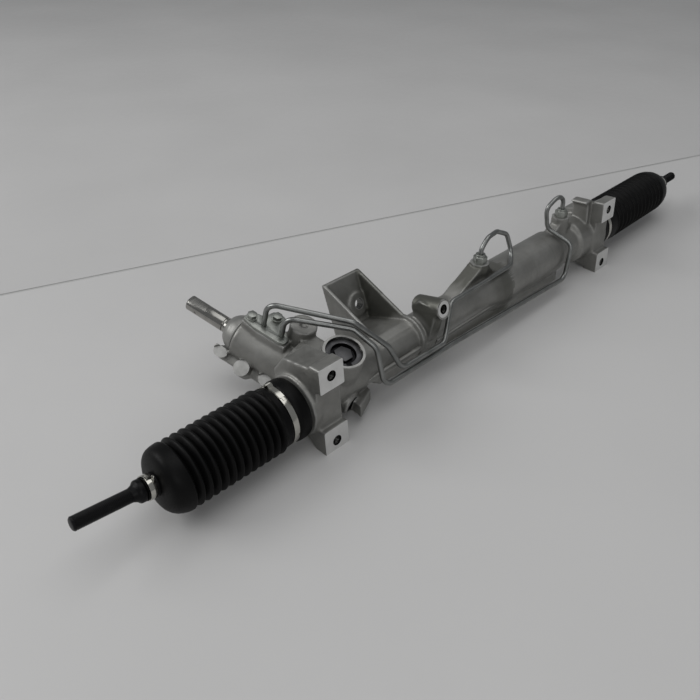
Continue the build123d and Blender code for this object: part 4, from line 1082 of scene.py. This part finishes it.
cap_profile = [(13.1, 114), (18.4, 114), (18.4, 127), (24, 127), (23.6, 130), (22.8, 133)]
cap_profile += [(20.4, 138.4), (16.8, 143), (13.6, 145.4), (10.3, 145.5), (10.3, 138)]
cap_profile += [(15, 138), (15, 128), (13.1, 127)]
cap = lathe("tower_cap", rounded(cap_profile, 1.6), TOWER_AXES, 96, 40)
# the cap's whole skin is lightened by a quarter of the painted highlight tone
store(cap.data, "painted_ridge_highlight", [0.25] * len(cap.data.vertices))
dress(cap, CAST)
take_place(cap, "housing", "valve_cap")

adjuster = take_place(bevelled("adjuster_plug", "yoke_adjuster", 0.3), "housing", "yoke_adjuster")
dress(adjuster, DARK)
adjuster.data.materials.append(PAINTED_LIGHT_KEY)
# faces of the hex in the recess take the lighter finish, as painted light
for face in adjuster.data.polygons:
    local = YOKE_AXES.inverted() @ face.center
    if math.hypot(local.x, local.y) < RECESS_RADIUS * MM and local.z > RECESS_FLOOR * MM:
        face.material_index = 1
# counts the faces that carry the painted light
print("worn key faces", sum(face.material_index for face in adjuster.data.polygons))

# %% Threads in the yoke's bore, the bolt holes and the ear
YOKE_THREAD = 20.6
FINE = 1.25  # pitch

thread = bmesh.new()
lead_in = [(YOKE_THREAD, MOUTH - 0.4), (YOKE_THREAD_BORE + 0.02, MOUTH)]
thread_grid(thread, YOKE_AXES, YOKE_THREAD, -0.5, COARSE, 46.6, MOUTH - 0.4, 72, 8)
spin_profile(thread, lead_in, YOKE_AXES, 72)
for hole, depth in HOLES:
    thread_grid(thread, hole, 5.75, -0.4, FINE, 1.2, depth - 4, 32)
thread_grid(thread, EAR_PLACE, 5.6, -0.36, FINE, -24, -1, 32)
bore_threads = finish_mesh(thread, "bore_threads", 60)
dress(bore_threads, THREAD_PAINTED_SHADE)
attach(bore_threads, "housing")
print("bore threads", len(bore_threads.data.polygons))

# %% Plate, screws, nuts and the clips on the boots' necks
FITTINGS = (
    ("tube_plate", "tube_clamp_plate", "housing", 0.45, ZINC),
    ("plate_screws", "clamp_screws", "housing", 0.4, ZINC),
    ("union_nuts", "tube_nuts", "housing", 0.5, ZINC),
    ("near_clip", "near_boot_clip", "near_tie_rod", 0.2, BAND),
    ("far_clip", "far_boot_clip", "far_tie_rod", 0.2, BAND),
)
for name, node_name, body, width, finish in FITTINGS:
    dress(take_place(bevelled(name, node_name, width), body, node_name), finish)
print(len(FITTINGS), "fittings done")

# %% [markdown]
# ## Ear clamps
#
# A boot's cuff is held by a stainless strip with one ear, which pliers pinch to tighten it. The
# hoop is spun, and the ear, the lap and the tongue follow paths of angles and radii round it.

# %% Ear clamps on the boots' cuffs
STRIP = 0.7  # thickness of the ear and the lap
HOOP = 0.8  # thickness of the hoop


def add_strip(builder, place, path, thick, width):
    """A bent strip: its path as (angle, radius) in degrees and millimetres about an axis."""
    rows = []
    for index, (angle, radius) in enumerate(path):
        before = path[max(index - 1, 0)]
        after = path[min(index + 1, len(path) - 1)]
        turn = math.radians(after[0] - before[0])
        along = Vector((radius * turn, after[1] - before[1])).normalized()
        row = []
        for out, side in ((0, -0.5), (0, 0.5), (1, 0.5), (1, -0.5)):
            inset = 0.15 if out else 0
            shift = Vector((-along.y, along.x)) * out * thick
            turned = math.radians(angle) + shift.x / radius
            point = polar(radius + shift.y, turned, side * (width - 2 * inset))
            row.append(builder.verts.new(place @ point))
        rows.append(row)
    join_rows(builder, rows)
    builder.faces.new(rows[0])
    builder.faces.new(rows[-1])


def ear_clamp(side, x, cuff, width=7.0):
    """Stainless strip round a cuff: hoop, pinched ear and the outer end with its tongue."""
    place = RACK_AXES @ Matrix.Translation((0, 0, x * MM))
    foot, half = cuff + 0.1, width / 2
    top = foot + HOOP
    hoop = [(foot, -half), (foot, half), (top, half), (top, -half), (foot, -half)]
    ear = [(-13, 0), (-9, 0), (-6.6, 0.2), (-5.2, 1.2), (-4.3, 2.8), (-3.2, 3.7), (-1.4, 3.5)]
    ear += [(0, 2.9)] + [(-angle, rise) for angle, rise in reversed(ear)]
    lap = [(92 + step * 3, top) for step in range(9)]
    tongue = [(116 + step * 2, top) for step in range(4)]
    builder = bmesh.new()
    spin_profile(builder, rounded(hoop, 0.25, 2), place, 120)
    ear_path = [(80 + angle, top + rise) for angle, rise in ear]
    add_strip(builder, place, ear_path, STRIP, width - 0.6)
    add_strip(builder, place, lap, STRIP, width - 0.6)
    add_strip(builder, place, tongue, 0.5, width * 0.4)
    clamp = finish_mesh(builder, f"{side}_band", 40)
    dress(clamp, BAND)
    take_place(clamp, "housing", f"{side}_boot_band")
    print(clamp.name, len(clamp.data.polygons), "faces")


ear_clamp("near", x=-329.7, cuff=34.0)
ear_clamp("far", x=319.5, cuff=33.5)

# %% [markdown]
# ## Stage, light and camera
#
# The rack lies on a pale matt floor of two sheets with a fine gap between them. A window lights
# it from behind on the left, with a wide light overhead and a weak one in front. The camera is
# placed in metres, so the view has true perspective.

# %% Floor and a joint in it
FLOOR_UP = Vector((0, -0.0865, 1)).normalized()
FLOOR_POINT = Vector((0, 0, -0.0545))
JOINT_ALONG = Vector((0.936, -0.351, -0.030)).normalized()
FLOOR_PLACE = axes(FLOOR_POINT, FLOOR_UP, JOINT_ALONG)
FLOOR_REACH = 7
JOINT_Y, JOINT_GAP = 0.3942, 0.0055


def floor_sheet(name, front, back, height, material):
    """A flat sheet in the floor's own frame."""
    builder = bmesh.new()
    left, right = -FLOOR_REACH, FLOOR_REACH
    corners = [(left, front), (right, front), (right, back), (left, back)]
    points = [FLOOR_PLACE @ Vector((x, y, height)) for x, y in corners]
    builder.faces.new([builder.verts.new(point) for point in points])
    piece = finish_mesh(builder, name)
    piece.data.materials.append(material)


def paper(name, tone, seed):
    """Matt sheet with faint clouds; the seed changes their size."""
    f = Finish(name, tone, 0.0, 0.55)
    cloud = f.grain(1.7 + seed, 2, 0.5)
    dark = tuple(v * 0.96 for v in tone)
    pale = tuple(v * 1.03 for v in tone)
    f.colour(f.mix(f.span(cloud, 0.3, 0.7), dark, pale))
    f.roughness(f.span(f.grain(40, 3, 0.5), 0.3, 0.7, 0.5, 0.62))
    f.bump(f.grain(300, 3, 0.6), 0.05, 0.0002)
    return f.material


# name, finish, tone, front, back and height of each sheet
SHEETS = (
    ("floor_near", "pale floor", (0.565, 0.56, 0.555), -FLOOR_REACH, JOINT_Y, 0),
    ("floor_far", "pale backdrop", (0.55, 0.545, 0.54), JOINT_Y + JOINT_GAP, 9, 0),
    ("floor_joint", "joint shadow", (0.47, 0.47, 0.46), JOINT_Y - 0.01, JOINT_Y + 0.02, -0.0006),
)
for seed, (name, finish, tone, *span) in enumerate(SHEETS):
    floor_sheet(name, *span, paper(finish, tone, seed))
print("floor joint", round(JOINT_GAP / MM, 1), "mm wide")

# %% Lights
def area_light(name, position, size, power):
    """A rectangular light that faces the origin."""
    data = bpy.data.lights.new(name, "AREA")
    data.shape = "RECTANGLE"
    data.size, data.size_y = size
    data.energy = power
    lamp = linked(name, data)
    lamp.location = position
    lamp.rotation_mode = "QUATERNION"
    lamp.rotation_quaternion = (-Vector(position)).to_track_quat("-Z", "Y")


# name, position and size in metres, power in watts
LIGHTS = (
    ("window", (-2.3, 1.9, 2.2), (2.2, 1.7), 50),
    ("overhead", (0.1, -0.3, 2.8), (3.2, 2.4), 29),
    ("front", (-1.5, -1.9, 1.1), (1.6, 1.2), 9),
)
for light in LIGHTS:
    area_light(*light)
world = bpy.data.worlds.new("studio")
bpy.context.scene.world = world
world.use_nodes = True
background = world.node_tree.nodes["Background"]
background.inputs["Color"].default_value = (0.86, 0.88, 0.90, 1)
background.inputs["Strength"].default_value = 0.25
bpy.context.scene.view_settings.view_transform = "Standard"
print("lights", [light[0] for light in LIGHTS])

# %% Camera
SENSOR = 36
PICTURE = 700  # pixels along each side
FOCAL = 713.12  # pixels
CENTRE_X, CENTRE_Y = 348.91, 345.62  # pixels, where the lens's axis meets the picture
CAMERA_POINT = (-0.6791, -0.4621, 0.4598)
CAMERA_RIGHT = Vector((0.7109, -0.7006, -0.0606))
CAMERA_DOWN = Vector((-0.4107, -0.3437, -0.8445))

camera_data = bpy.data.cameras.new("camera")
camera = linked("camera", camera_data)
right = CAMERA_RIGHT.normalized()
ahead = right.cross(CAMERA_DOWN.normalized()).normalized()
down = ahead.cross(right).normalized()
turned = Matrix((right, -down, -ahead)).transposed().to_4x4()
camera.matrix_world = Matrix.Translation(CAMERA_POINT) @ turned
camera_data.sensor_width = SENSOR
camera_data.lens = FOCAL / PICTURE * SENSOR
camera_data.shift_x = (PICTURE / 2 - CENTRE_X) / PICTURE
camera_data.shift_y = (CENTRE_Y - PICTURE / 2) / PICTURE
camera_data.clip_start = 0.01
camera_data.clip_end = 50
bpy.context.scene.camera = camera
print("camera lens", round(camera_data.lens, 2), "mm")
